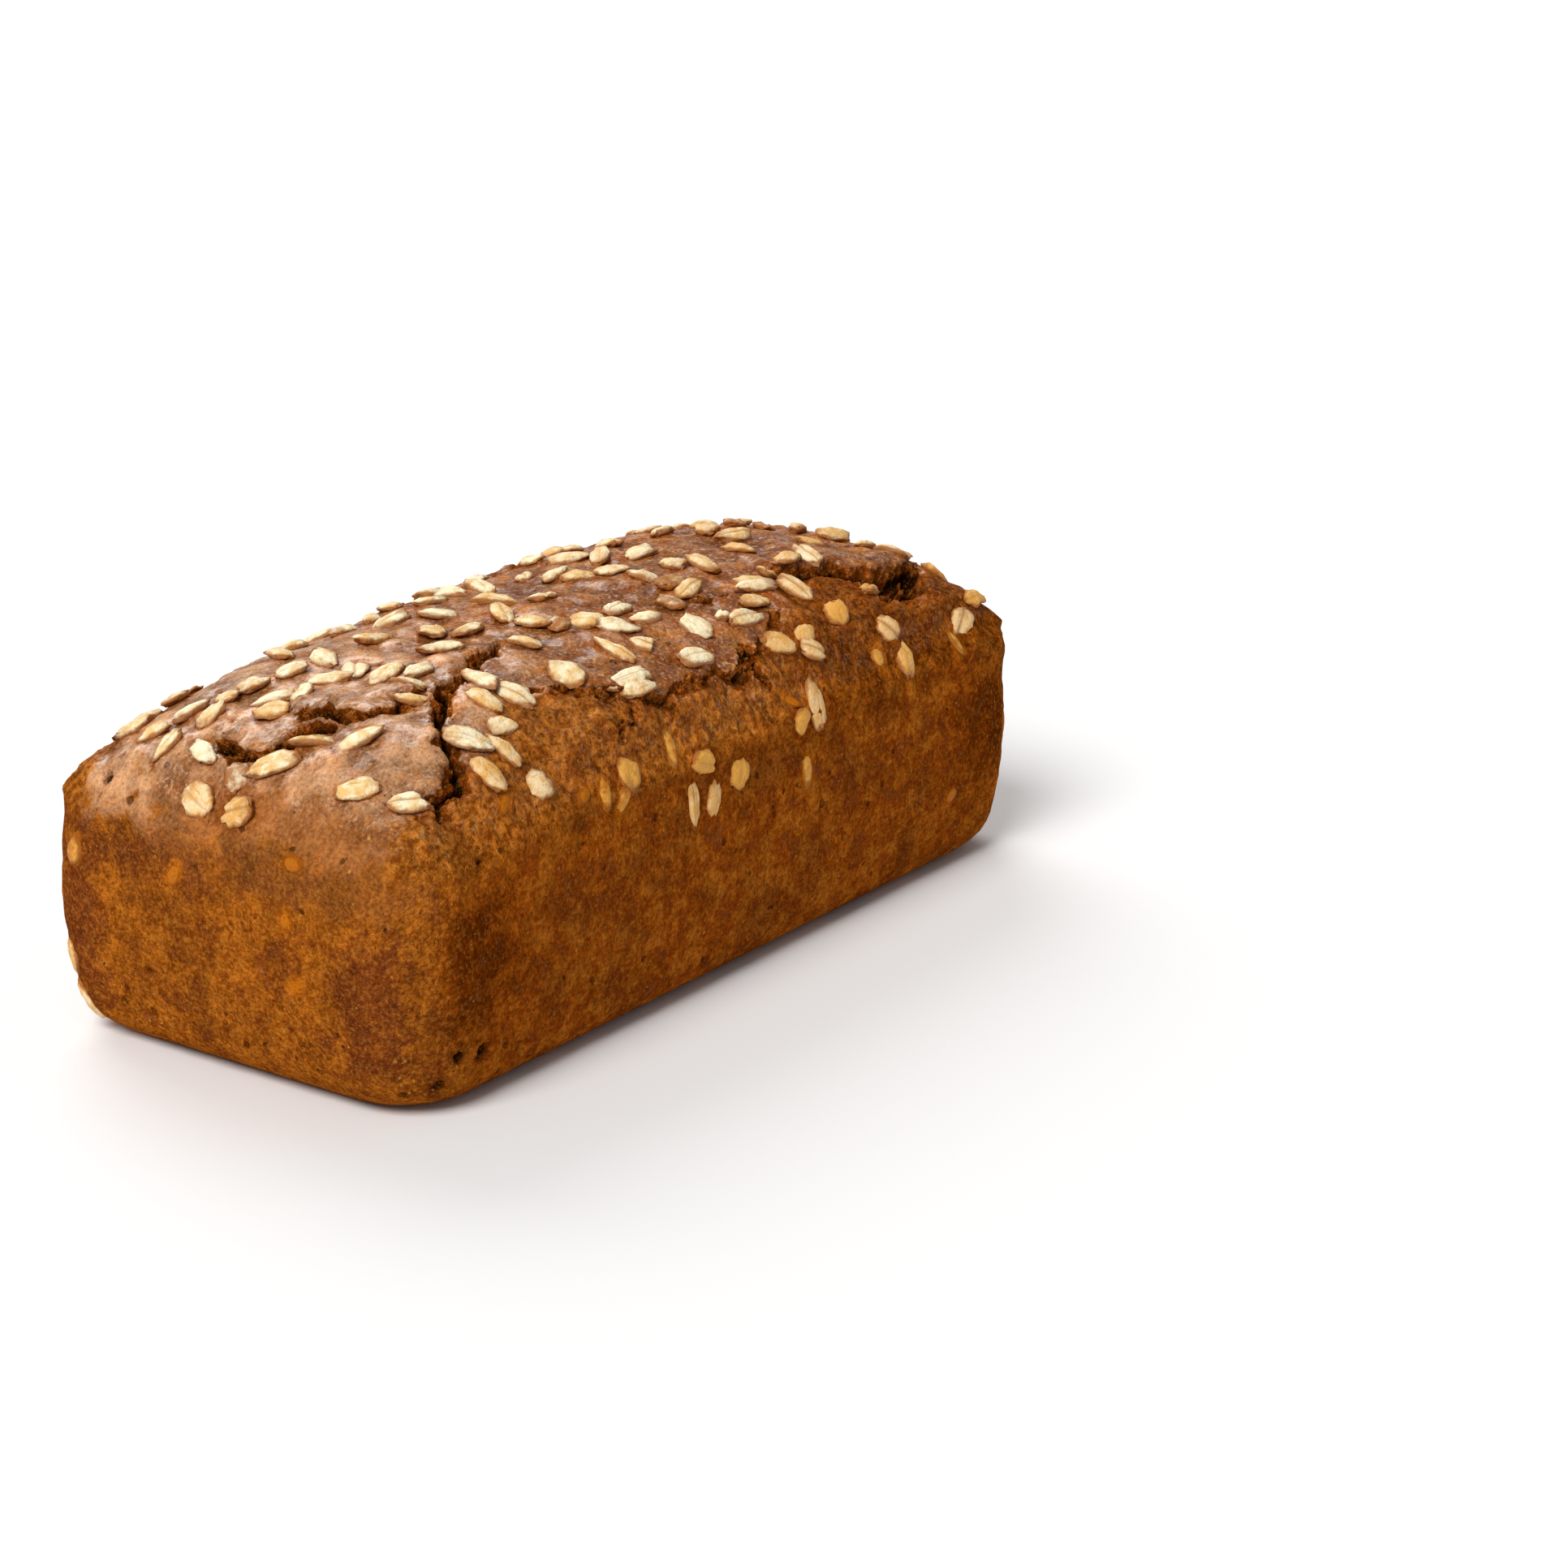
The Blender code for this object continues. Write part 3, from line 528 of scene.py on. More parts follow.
def crown_height(x, y):
    """Height of the crown with its shoulders rounded off: the mean over a small disc."""
    height = 0.0
    for step in range(SHOULDER_SAMPLES):
        out = SHOULDER_ROUNDING * math.sqrt((step + 0.5) / SHOULDER_SAMPLES)
        turn = step * GOLDEN_ANGLE
        height = height + sharp_crown(x + out * math.cos(turn), y + out * math.sin(turn))
    return height / SHOULDER_SAMPLES


def round_corners(x, y):
    """Draws the square corners of the plan in to their radius."""
    inner_x = LENGTH / 2 - CORNER_RADIUS
    inner_y = WIDTH / 2 - CORNER_RADIUS
    core_x = np.clip(x, -inner_x, inner_x)
    core_y = np.clip(y, -inner_y, inner_y)
    out = np.hypot(x - core_x, y - core_y)
    reach = np.maximum(np.abs(x - core_x), np.abs(y - core_y))
    share = np.where(out > 1e-9, reach / np.maximum(out, 1e-9), 1.0)
    return core_x + (x - core_x) * share, core_y + (y - core_y) * share


def loaf_form(block):
    """Places on the smooth loaf for places on the cube from -1 to 1."""
    x, y = round_corners(block[:, 0] * LENGTH / 2, block[:, 1] * WIDTH / 2)
    z = (block[:, 2] + 1.0) / 2 * crown_height(x, y)
    level = np.clip(z / WALL_HEIGHT, 0.0, 1.0)
    below = np.clip(1.0 - z / BASE_EDGE_RADIUS, 0.0, 1.0)
    edge = BASE_EDGE_RADIUS * (1.0 - np.sqrt(1.0 - below * below))
    outward = WALL_BULGE * np.sin(math.pi * level) - edge
    x = x * (1.0 + (outward - (LENGTH - BASE_LENGTH) / 2 * (1.0 - level)) / (LENGTH / 2))
    y = y * (1.0 + (outward - (WIDTH - BASE_WIDTH) / 2 * (1.0 - level)) / (WIDTH / 2))
    return np.column_stack((x, y, z))


def tear_line(path, seed):
    """The tear's jagged path over the crown, as evenly spaced places."""
    corners = np.array(path) * MM
    runs = np.hypot(*np.diff(corners, axis=0).T)
    marks = np.concatenate(([0.0], np.cumsum(runs)))
    stations = np.linspace(0.0, marks[-1], max(4, round(marks[-1] / TEAR_STEP)))
    x, y = (np.interp(stations, marks, line) for line in corners.T)
    places = np.column_stack((x, y, stations))
    x = x + TEAR_JITTER * wave(places, TEAR_JITTER_SIZE, seed)
    y = y + TEAR_JITTER * wave(places, TEAR_JITTER_SIZE, seed + 0.5)
    return np.column_stack((x, y, crown_height(x, y)))


def nearest_on_line(points, line):
    """Distance to the line, share of its length, 1 on its left or -1 on its right, and the way to it."""
    start = line[:-1]
    run = line[1:] - start
    distance = np.full(len(points), np.inf)
    share = np.zeros(len(points))
    side = np.zeros(len(points))
    towards = np.zeros((len(points), 3))
    for index in range(len(start)):
        offset = points - start[index]
        along = np.clip(offset @ run[index] / (run[index] @ run[index]), 0.0, 1.0)
        gap = offset - along[:, None] * run[index]
        here = np.linalg.norm(gap, axis=1)
        turn = run[index, 0] * gap[:, 1] - run[index, 1] * gap[:, 0]
        closer = here < distance
        distance[closer] = here[closer]
        share[closer] = (index + along[closer]) / len(start)
        side[closer] = np.sign(turn[closer])
        towards[closer] = -gap[closer] / np.maximum(here[closer], 1e-9)[:, None]
    return distance, share, side, towards


def tear_lines():
    """Each tear with its sizes in metres, its line over the crown and its seed."""
    for seed, tear in enumerate(TEARS.values(), TEAR_SEED):
        sizes = [size * MM for size in tear[:-1]]
        yield Tear(*sizes, tear.path), tear_line(tear.path, seed), seed


# Throwing things at the loaf


def throw(face, first, second):
    """Start and aim of a throw square at a face: millimetres along it and up, or (x, y) on the crown."""
    far = LENGTH
    first = first * MM
    second = second * MM
    return {
        "side": ((first, -far, second), (0, 1, 0)),
        "back": ((first, far, second), (0, -1, 0)),
        "near end": ((-far, first, second), (1, 0, 0)),
        "far end": ((far, first, second), (-1, 0, 0)),
        "crown": ((first, second, 3 * WALL_HEIGHT), (0, 0, -1)),
    }[face]


def landing(surface, start, aim):
    """Where something thrown at the crust lands, and which way the crust faces there."""
    place, facing, _, _ = surface.ray_cast(Vector(start), Vector(aim))
    return place, facing


def level_landing(surface, start, aim):
    """Where something broad lands and how it faces, from a few landings side by side."""
    place, facing = landing(surface, start, aim)
    rises = [0.0]
    facings = [facing]
    for axis in (Vector((1, 0, 0)), Vector((0, 1, 0)), Vector((0, 0, 1))):
        for step in (-LEVEL_STEP, LEVEL_STEP):
            there, facing_there = landing(surface, Vector(start) + step * axis, aim)
            if there and abs((there - place).dot(Vector(aim))) < LEVEL_REACH:
                rises.append((there - place).dot(facing))
                facings.append(facing_there)
    return place + facing * (sum(rises) / len(rises)), sum(facings, Vector()).normalized()


def lying_matrix(place, facing, aim, turn, tilt):
    """Stands on the crust with +Z outwards and +X turned from the loaf's length, or across it on the ends."""
    along = Vector((0.0, 1.0, 0.0) if aim[0] else (1.0, 0.0, 0.0))
    along = (along - facing * along.dot(facing)).normalized()
    frame_there = Matrix((along, facing.cross(along), facing)).transposed().to_4x4()
    lean = Matrix.Rotation(tilt[0], 4, "X") @ Matrix.Rotation(tilt[1], 4, "Y")
    return Matrix.Translation(place) @ frame_there @ Matrix.Rotation(turn, 4, "Z") @ lean


# Crust


def cut_block():
    """A cube whose sides are cut into even faces, and into finer ones where the crust is torn."""
    bpy.ops.mesh.primitive_cube_add(size=2.0)
    block = bpy.context.object
    for axis, rounds in enumerate(BLOCK_CUTS):
        for cuts in rounds:
            with editing(block, "edges", edges_along(block.data, axis)):
                bpy.ops.mesh.subdivide(number_cuts=cuts)
    centres = face_centres(block.data)
    under = (centres[:, 2] < UNDERSIDE) & (np.abs(centres[:, :2]).max(axis=1) < BASE_MARGIN)
    with editing(block, "polygons", under):
        bpy.ops.mesh.dissolve_faces()
    for tear_reach, pit_reach, on_flanks in FINER_ROUNDS:
        centres = loaf_form(face_centres(block.data))
        finer = near_damage(centres, tear_reach, pit_reach)
        if on_flanks:
            finer |= torn_flank(centres)
        with editing(block, "polygons", finer):
            bpy.ops.mesh.subdivide(number_cuts=1)
    return block


def pit_throws():
    """Start and aim of the throw that finds each pit, with its radius and depth."""
    for face, pits in PITS.items():
        for along, height, radius, depth in pits:
            start, aim = (np.array(part, float) for part in throw(face, along, height))
            yield start, aim, radius * MM, depth * MM


def gap_to_pit(points, start, aim):
    """Distance of each point from the line of a throw, on the half of the loaf that it meets."""
    offset = points - start
    across = offset - (offset @ aim)[:, None] * aim
    return np.where(points @ aim < 0.0, np.linalg.norm(across, axis=1), np.inf)


def near_damage(points, tear_reach, pit_reach):
    """Which places are close to the edge of a tear, or within so many radii of a pit."""
    near = np.zeros(len(points), bool)
    for start, aim, radius, _ in pit_throws():
        near |= gap_to_pit(points, start, aim) < pit_reach * radius
    upper = points[:, 2] > UPPER_FROM
    for tear, line, _ in tear_lines():
        near[upper] |= nearest_on_line(points[upper], line)[0] - tear.width < tear_reach
    return near


def torn_flank(points):
    """Which places are on the flanks of the crown, where its skin is torn away."""
    x, y = np.abs(points[:, :2]).T
    return (y > TORN_FLANK_INSIDE) & (points[:, 2] > TORN_FLANK_FOOT) & (x < TORN_FLANK_END)


def ragged(points, seed):
    """The points pushed about, so that an edge measured from them comes out ragged."""
    pushed = points.copy()
    for size, push, step in TEAR_RAGS:
        shift = Vector(SEED_STRIDE) * (seed + step)
        pushed += push * np.array([noise.noise_vector(Vector(p) / size + shift) for p in points])
    return pushed


def tear_marks(points, tear, line, seed):
    """What one tear does to the crust: outward and sideways moves, and how torn, deep and lipped it is."""
    distance, share, side, towards = nearest_on_line(ragged(points, seed), line)
    fade = smooth_step(np.minimum(share, 1.0 - share), 0.0, TIP_SHARE)
    width = tear.width * (TIP_WIDTH + (1.0 - TIP_WIDTH) * fade) * (1.0 + waves(points, TEAR_JAGS, seed))
    band = smooth_step(1.0 - distance / (BAND_WIDTH * width), 0.0, BAND_SLOPE)
    gap = smooth_step(1.0 - distance / (GAP_WIDTH * width), 0.0, GAP_SLOPE)
    depth = tear.depth * (1.0 + waves(points, TEAR_FLOOR, seed))
    opening = BAND_DEPTH * band + (1.0 - BAND_DEPTH) * gap
    lip = np.where(side > 0, tear.left_lip, tear.right_lip)
    beyond = np.clip(distance - width, 0.0, None)
    rise = lip * np.exp(-(beyond / tear.reach) ** 2)
    outward = fade * (rise * (1.0 - opening) - depth * opening)
    lean = fade * LIP_LEAN * lip * np.exp(-(beyond / LIP_LEAN_REACH) ** 2) * (1.0 - opening)
    edge = fade * np.exp(-(beyond / LIP_EDGE_REACH) ** 2) * (1.0 - band)
    # The deep mark carries painted shade at the bottom of the gap
    darkness = np.clip(tear.depth / DARK_TEAR, LEAST_DARK, 1.0)
    return outward, lean[:, None] * towards, fade * band, fade * gap * darkness, edge


def beyond_skin(x, y):
    """How far each place lies beyond the edge of the crown's skin, on the front and on the back."""
    front = np.array(FRONT_SKIN_EDGE + TEARS["flank skin edge"].path + TEARS["far burst"].path) * MM
    back = np.array(TEARS["back skin edge"].path[::-1]) * MM
    front_gap = np.interp(x, front[:, 0], front[:, 1]) - y
    back_gap = y - np.interp(x, back[:, 0], back[:, 1])
    return np.maximum(front_gap, back_gap)


def crust_moves(points):
    """Outward and sideways moves that roughen the smooth loaf, and the marks that its finish reads."""
    x, y, z = points.T
    above_wall = smooth_step(z, *ABOVE_WALL)
    flank = above_wall * smooth_step(np.abs(y), *FLANK)
    burst = smooth_step(x, *BURST) * (y < 0.0)
    off_base = smooth_step(z, 0.0, BASE_EDGE_RADIUS)
    outward = off_base * above_wall * waves(points, CROWN_LUMPS)
    outward += off_base * (1.0 - above_wall) * waves(points, WALL_LUMPS)
    size, height, seed = CRAGS
    outward += flank * (height + (BURST_CRAG_HEIGHT - height) * burst) * wave(points, size, seed)
    wrinkles = above_wall * (1.0 - flank) * waves(points, SKIN_WRINKLES)
    outward += wrinkles
    sideways = np.zeros((len(points), 3))
    torn, deep, lip = np.zeros((3, len(points)))
    upper = np.flatnonzero(z > UPPER_FROM)
    for tear, line, seed in tear_lines():
        room = tear.reach * TEAR_ROOM + tear.width
        inside = (points[upper] > line.min(axis=0) - room) & (points[upper] < line.max(axis=0) + room)
        near = upper[inside.all(axis=1)]
        moved, lean, *marks_here = tear_marks(points[near], tear, line, seed)
        outward[near] += moved
        sideways[near] += lean
        for mark, here in zip((torn, deep, lip), marks_here):
            mark[near] = np.maximum(mark[near], here)
    crags = np.maximum(flank * FLANK_ROUGHNESS, torn) * waves(points, SMALL_CRAGS)
    outward += crags
    for start, aim, radius, depth in pit_throws():
        gap = gap_to_pit(points, start, aim) * (1.0 + waves(points, PIT_WAVER))
        hollow = np.clip(1.0 - (gap / radius) ** 2, 0.0, 1.0)
        outward -= depth * hollow
        deep = np.maximum(deep, min(1.0, depth / DARK_DEPTH) * smooth_step(hollow, *DARK_HOLLOW))
    marks = {"torn": torn, "deep": deep, "lip": lip, "relief": (crags + wrinkles) / RELIEF_HEIGHT}
    marks["kernel"] = kernel_mark(points)
    marks.update(wall_marks(points, above_wall, flank))
    return outward, sideways, marks


def kernel_mark(points):
    """Soft ovals where a grain lies just under the crust."""
    shown = np.zeros(len(points))
    for face, first, second, turn, length, width, _ in all_grains():
        start, aim = (np.array(part, float) for part in throw(face, first, second))
        offset = points - start
        along = offset @ ((0.0, 1.0, 0.0) if aim[0] else (1.0, 0.0, 0.0))
        up = offset[:, 2] * (-aim[0] if aim[0] else aim[1])
        cosine, sine = math.cos(math.radians(turn)), math.sin(math.radians(turn))
        reach = np.hypot(
            (along * cosine + up * sine) / (length / 2 * MM), (up * cosine - along * sine) / (width / 2 * MM)
        )
        shown = np.maximum(shown, (points @ aim < 0.0) * (1.0 - smooth_step(reach, *KERNEL_EDGE)))
    return shown


def wall_marks(points, above_wall, flank):
    """Where the crust is skin, flank, shoulder, corner or rim, for its colours."""
    x, y, z = points.T
    from_corner = (np.abs(x) - LENGTH / 2) - (np.abs(y) - WIDTH / 2)
    along = x / LENGTH
    across = y / WIDTH
    height = z / WALL_HEIGHT
    at_end = smooth_step(np.abs(along), 0.44, 0.49)
    shoulder = at_end * hump(height, 0.84, 1.06, 1.3, 1.5)
    rim = at_end * hump(height, 0.74, 0.95, 1.04, 1.2)
    end_corner = hump(from_corner, -4 * MM, 5 * MM, 13 * MM, 24 * MM)
    side_corner = hump(-from_corner, 6 * MM, 16 * MM, 22 * MM, 46 * MM)
    return {
        "crown": smooth_step(height, 0.97, 1.3),
        "flank": above_wall * smooth_step(beyond_skin(x, y), -1.5 * MM, 4.0 * MM),
        # Far part of the front, where the flank gets painted shade
        "burst": smooth_step(along, 0.02, 0.2) * (across < 0.0),
        # Near part of the crown, which gets a painted sheen in its colour and a stronger coat
        "pale": above_wall * (1.0 - flank) * smooth_step(-along, 0.0, 0.34),
        # Top of the near end, for painted light and shade: stronger towards the front corner, where the light
        # falls off
        "shoulder": shoulder * smooth_step(-across, -0.4, 0.2),
        "rim": rim * (1.0 - smooth_step(-across, -0.1, 0.3)),
        "side": 1.0 - smooth_step(np.abs(along), 0.36, 0.46),
        "corner_mauve": end_corner * hump(height, 0.12, 0.3, 0.7, 1.0),
        "corner_dark": side_corner * hump(height, 0.1, 0.65, 0.85, 1.1),
        "foot": 1.0 - smooth_step(z, 0.5 * MM, 6 * MM),
    }


def make_crust(box):
    crust = cut_block()
    crust.name = crust.data.name = "crust"
    mesh = crust.data
    points = loaf_form(vertex_places(mesh))
    put_vertices(mesh, points)
    outward, sideways, marks = crust_moves(points)
    put_vertices(mesh, np.clip(points + vertex_normals(mesh) * outward[:, None] + sideways, *box))
    for name, values in marks.items():
        mark_vertices(mesh, name, values)
    mesh.shade_smooth()
    return crust


# Flakes and grains


def deselect_all():
    for thing in bpy.context.selected_objects:
        thing.select_set(False)


def lying_sphere(name, segments, rings):
    """A sphere one unit across, with its poles at the ends of a kernel."""
    deselect_all()
    bpy.ops.mesh.primitive_uv_sphere_add(segments=segments, ring_count=rings, radius=0.5)
    kernel = bpy.context.object
    kernel.name = name
    with editing(kernel, "polygons", np.ones(len(kernel.data.polygons), bool)):
        bpy.ops.transform.rotate(value=math.pi / 2, orient_axis="Y", center_override=(0.0, 0.0, 0.0))
    return kernel


def model_flake(name, kind):
    """A rolled kernel one unit long, wide and thick: plump, with blunt ends, or with one end broken off."""
    flake = lying_sphere(name, FLAKE_SEGMENTS, FLAKE_RINGS)
    mesh = flake.data
    if kind.cut:
        reach, slant = kind.cut
        plane = {"plane_co": (reach, 0.0, 0.0), "plane_no": (1.0, slant, 0.0)}
        with editing(flake, "vertices", np.ones(len(mesh.vertices), bool)):
            bpy.ops.mesh.bisect(**plane, use_fill=True, clear_outer=True)
    places = vertex_places(mesh)
    along = np.clip(np.abs(2.0 * places[:, 0]), 0.0, FLAKE_TIP)
    places[:, 1:] *= np.sqrt((1.0 - along**kind.blunt) / (1.0 - along**2))[:, None]
    places[:, 2] *= kind.plump
    mark_vertices(mesh, "along", 2.0 * places[:, 0])
    mark_vertices(mesh, "across", 2.0 * places[:, 1])
    mark_vertices(mesh, "top", smooth_step(places[:, 2], *FLAKE_TOP))
    put_vertices(mesh, places)
    mesh.shade_smooth()
    return flake


def model_grain():
    """A whole grain one unit long, wide and thick, fuller at one end."""
    grain = lying_sphere("grain", GRAIN_SEGMENTS, GRAIN_RINGS)
    places = vertex_places(grain.data)
    places[:, 1:] *= 1.0 + GRAIN_FULLER_END * places[:, :1] - GRAIN_SLIM_ENDS * places[:, :1] ** 2
    put_vertices(grain.data, places)
    mark_vertices(grain.data, "top", smooth_step(places[:, 2], *GRAIN_TOP))
    grain.data.shade_smooth()
    return grain


def kind_of_flake(length, width, chance):
    """Slim and round flakes by their proportions, and now and then a broken one."""
    if width > ROUND_FLAKE * length:
        return "round"
    if width < SLIM_FLAKE * length:
        return "slim"
    return "broken" if chance < BROKEN_SHARE else "whole"


def golden_share(x, y):
    """How golden a flake on the crown has baked."""
    far = FAR_GOLDEN * smooth_step(x, *FAR_CROWN)
    return far + FLANK_GOLDEN * smooth_step(beyond_skin(x, y), *BARE_FLANK)


def throws_of_flakes():
    """Start, aim, turn, length, width, rise, browning and gold of each flake, in the order of the solid's."""
    for face, flakes in WALL_FLAKES.items():
        golden = END_GOLDEN if "end" in face else SIDE_GOLDEN
        for along, height, turn, length, width in flakes:
            proud = FLANK_FLAKE_PROUD if height * MM > WALL_HEIGHT else WALL_FLAKE_PROUD
            size = (math.radians(turn), length * MM, width * MM)
            yield *throw(face, along, height), *size, proud, 0.0, golden
    for x, y, turn, length, width in CROWN_FLAKES:
        browned = float((x, y) in BROWNED_FLAKES)
        size = (math.radians(turn), length * MM, width * MM)
        yield *throw("crown", x, y), *size, FLAKE_PROUD, browned, golden_share(x * MM, y * MM)
    draw = np.random.default_rng(STREWN_SEED + 1)
    for x, y in strewn_places():
        turn = draw.uniform(0.0, math.pi)
        length = FLAKE_LENGTH * draw.uniform(*STREWN_LENGTHS)
        width = FLAKE_WIDTH * draw.uniform(*STREWN_WIDTHS)
        yield *throw("crown", x / MM, y / MM), turn, length, width, FLAKE_PROUD, 0.0, golden_share(x, y)


def strewn_places():
    """Uneven, seeded places over the far side and the far end of the crown, clear of the tears."""
    draw = np.random.default_rng(STREWN_SEED)
    taken = [(x * MM, y * MM) for x, y, _, _, _ in CROWN_FLAKES]
    tears = np.vstack([line[:, :2] for _, line, _ in tear_lines()])
    found = []
    for _ in range(STREWN_TRIES):
        x = draw.uniform(-STREWN_HALF_LENGTH, STREWN_HALF_LENGTH)
        y = draw.uniform(-STREWN_HALF_WIDTH, STREWN_HALF_WIDTH)
        room = draw.uniform(*STREWN_GAPS)
        seen = y < FAR_SIDE_FROM and x < FAR_END_FROM
        if seen or min(math.dist((x, y), other) for other in taken + found) < room:
            continue
        if np.hypot(*(tears - (x, y)).T).min() < TEAR_CLEARANCE:
            continue
        found.append((x, y))
        if len(found) == STREWN_FLAKES:
            break
    return found


def press_flake(flake, length, width, proud, browned, golden, draw, seed):
    """Gives one copy its own size, outline, crease, bend and toasting, and sinks it to its rise."""
    mesh = flake.data
    places = vertex_places(mesh)
    along = 2.0 * places[:, 0]
    crease = draw.uniform(*CREASES) if draw.uniform() < CREASED_SHARE else 0.0
    top_line = (np.abs(places[:, 1]) < TOP_LINE_WIDTH) & (places[:, 2] > TOP_LINE_FROM)
    places[top_line, 2] -= crease * (1.0 - CREASE_FADE * along[top_line] ** 2)
    places[top_line, 1] += draw.uniform(-CREASE_SWAY, CREASE_SWAY)
    mark_vertices(mesh, "crease", np.where(top_line, crease / CREASES[1], 0.0))
    places[:, :2] *= (OUTLINE_SIZE + waves(places, OUTLINE_BUMPS, seed))[:, None]
    places *= (length, width, FLAKE_THICKNESS * draw.uniform(*THICKNESSES))
    places[:, 2] += draw.uniform(*BENDS) * along**2
    places[:, 2] += draw.uniform(*TWISTS) * along * np.sign(places[:, 1])
    places += vertex_normals(mesh) * waves(places, FLAKE_LUMPS, seed)[:, None]
    places[:, 2] += proud - places[:, 2].max()
    put_vertices(mesh, places)
    toasted_end = 1.0 if draw.uniform() < 0.5 else -1.0
    toast = draw.uniform() * smooth_step(toasted_end * along, *TOASTED_END)
    toast = np.maximum(toast, TIP_TOAST * smooth_step(np.abs(along), *TOASTED_TIP))
    mark_vertices(mesh, "toast", np.maximum(toast, browned))
    ripeness = draw.uniform()
    mark_vertices(mesh, "ripeness", ripeness)
    mark_vertices(mesh, "golden", golden * (LEAST_GOLD + RIPE_GOLD * ripeness))


def copy_of(model, name):
    """Another object of the same shape, with its own mesh."""
    twin = model.copy()
    twin.data = model.data.copy()
    twin.name = name
    bpy.context.scene.collection.objects.link(twin)
    return twin


def join_pieces(pieces, name):
    deselect_all()
    for piece in pieces:
        piece.select_set(True)
    bpy.context.view_layer.objects.active = pieces[0]
    bpy.ops.object.join()
    joined = bpy.context.object
    joined.name = joined.data.name = name
    return joined


def settle(piece, lie, box):
    """Lays a piece on the loaf, and shifts it until it doesn't stand out of the box."""
    piece.data.transform(lie)
    places = vertex_places(piece.data)
    low, high = (np.array(corner) for corner in box)
    inwards = np.maximum(low - places.min(axis=0), 0.0) - np.maximum(places.max(axis=0) - high, 0.0)
    put_vertices(piece.data, places + inwards)


def oily_halo_and_shade_beside(points, lie, length, width):
    """The crust's darker ring round a flake that lies at this matrix: partly oily stain, partly painted
    contact shadow.
    """
    local = (points - np.array(lie.translation)) @ np.array(lie.to_3x3())
    reach = np.hypot(local[:, 0] / (length / 2), local[:, 1] / (width / 2))
    return (np.abs(local[:, 2]) < length / 2) * (1.0 - smooth_step(reach, *HALO_REACH))


def make_flakes(crust, box):
    surface = BVHTree.FromObject(crust, bpy.context.evaluated_depsgraph_get())
    models = {name: model_flake(name, kind) for name, kind in FLAKE_KINDS.items()}
    tilts = np.random.default_rng(STREWN_SEED + 2)
    draw = np.random.default_rng(STREWN_SEED + 3)
    points = vertex_places(crust.data)
    oily_halo_and_shade = np.zeros(len(points))
    flakes = []
    for index, (start, aim, turn, length, width, *looks) in enumerate(throws_of_flakes()):
        tilt = tilts.uniform(-FLAKE_TILT, FLAKE_TILT, 2)
        kind = kind_of_flake(length, width, draw.uniform())
        flake = copy_of(models[kind], f"flake_{index:03d}")
        press_flake(flake, length, width, *looks, draw, index + FLAKE_SEED)
        place, facing = level_landing(surface, start, aim)
        lie = lying_matrix(place, facing, aim, turn, tilt)
        oily_halo_and_shade = np.maximum(oily_halo_and_shade, oily_halo_and_shade_beside(points, lie, length, width))
        settle(flake, lie, box)
        flakes.append(flake)
    for model in models.values():
        bpy.data.objects.remove(model, do_unlink=True)
    mark_vertices(crust.data, "oily_halo_and_shade", oily_halo_and_shade)
    return join_pieces(flakes, "flakes")


def all_grains():
    """The grains that show, and seeded ones over the long walls and the far end."""
    for face, grains in GRAINS.items():
        for grain in grains:
            yield face, *grain
    draw = np.random.default_rng(GRAIN_SEED)
    for _ in range(STREWN_GRAINS):
        face = STREWN_GRAIN_FACES[draw.integers(len(STREWN_GRAIN_FACES))]
        reach = GRAIN_END_REACH if "end" in face else GRAIN_SIDE_REACH
        along = draw.uniform(-reach, reach)
        height = draw.uniform(*GRAIN_HEIGHTS)
        length = draw.uniform(*GRAIN_LENGTHS)
        width = draw.uniform(*GRAIN_WIDTHS)
        yield face, along, height, draw.uniform(0.0, 180.0), length, width, draw.uniform(*GRAIN_RISES)


def make_grains(crust, box):
    surface = BVHTree.FromObject(crust, bpy.context.evaluated_depsgraph_get())
    model = model_grain()
    draw = np.random.default_rng(GRAIN_SEED + 1)
    grains = []
    for index, (face, along, height, turn, length, width, proud) in enumerate(all_grains()):
        grain = copy_of(model, f"grain_{index:03d}")
        places = vertex_places(grain.data) * (length * MM, width * MM, GRAIN_FLATNESS * width * MM)
        places[:, 2] += proud * MM - places[:, 2].max()
        put_vertices(grain.data, places)
        ripeness = draw.uniform(0.0, GRAIN_RIPENESS) + SUNK_RIPENESS * (proud < SUNK_GRAIN)
        mark_vertices(grain.data, "ripeness", ripeness)
        start, aim = throw(face, along, height)
        place, facing = landing(surface, start, aim)
        settle(grain, lying_matrix(place, facing, aim, math.radians(turn), (0.0, 0.0)), box)
        grains.append(grain)
    bpy.data.objects.remove(model, do_unlink=True)
    return join_pieces(grains, "grains")


# Finishes


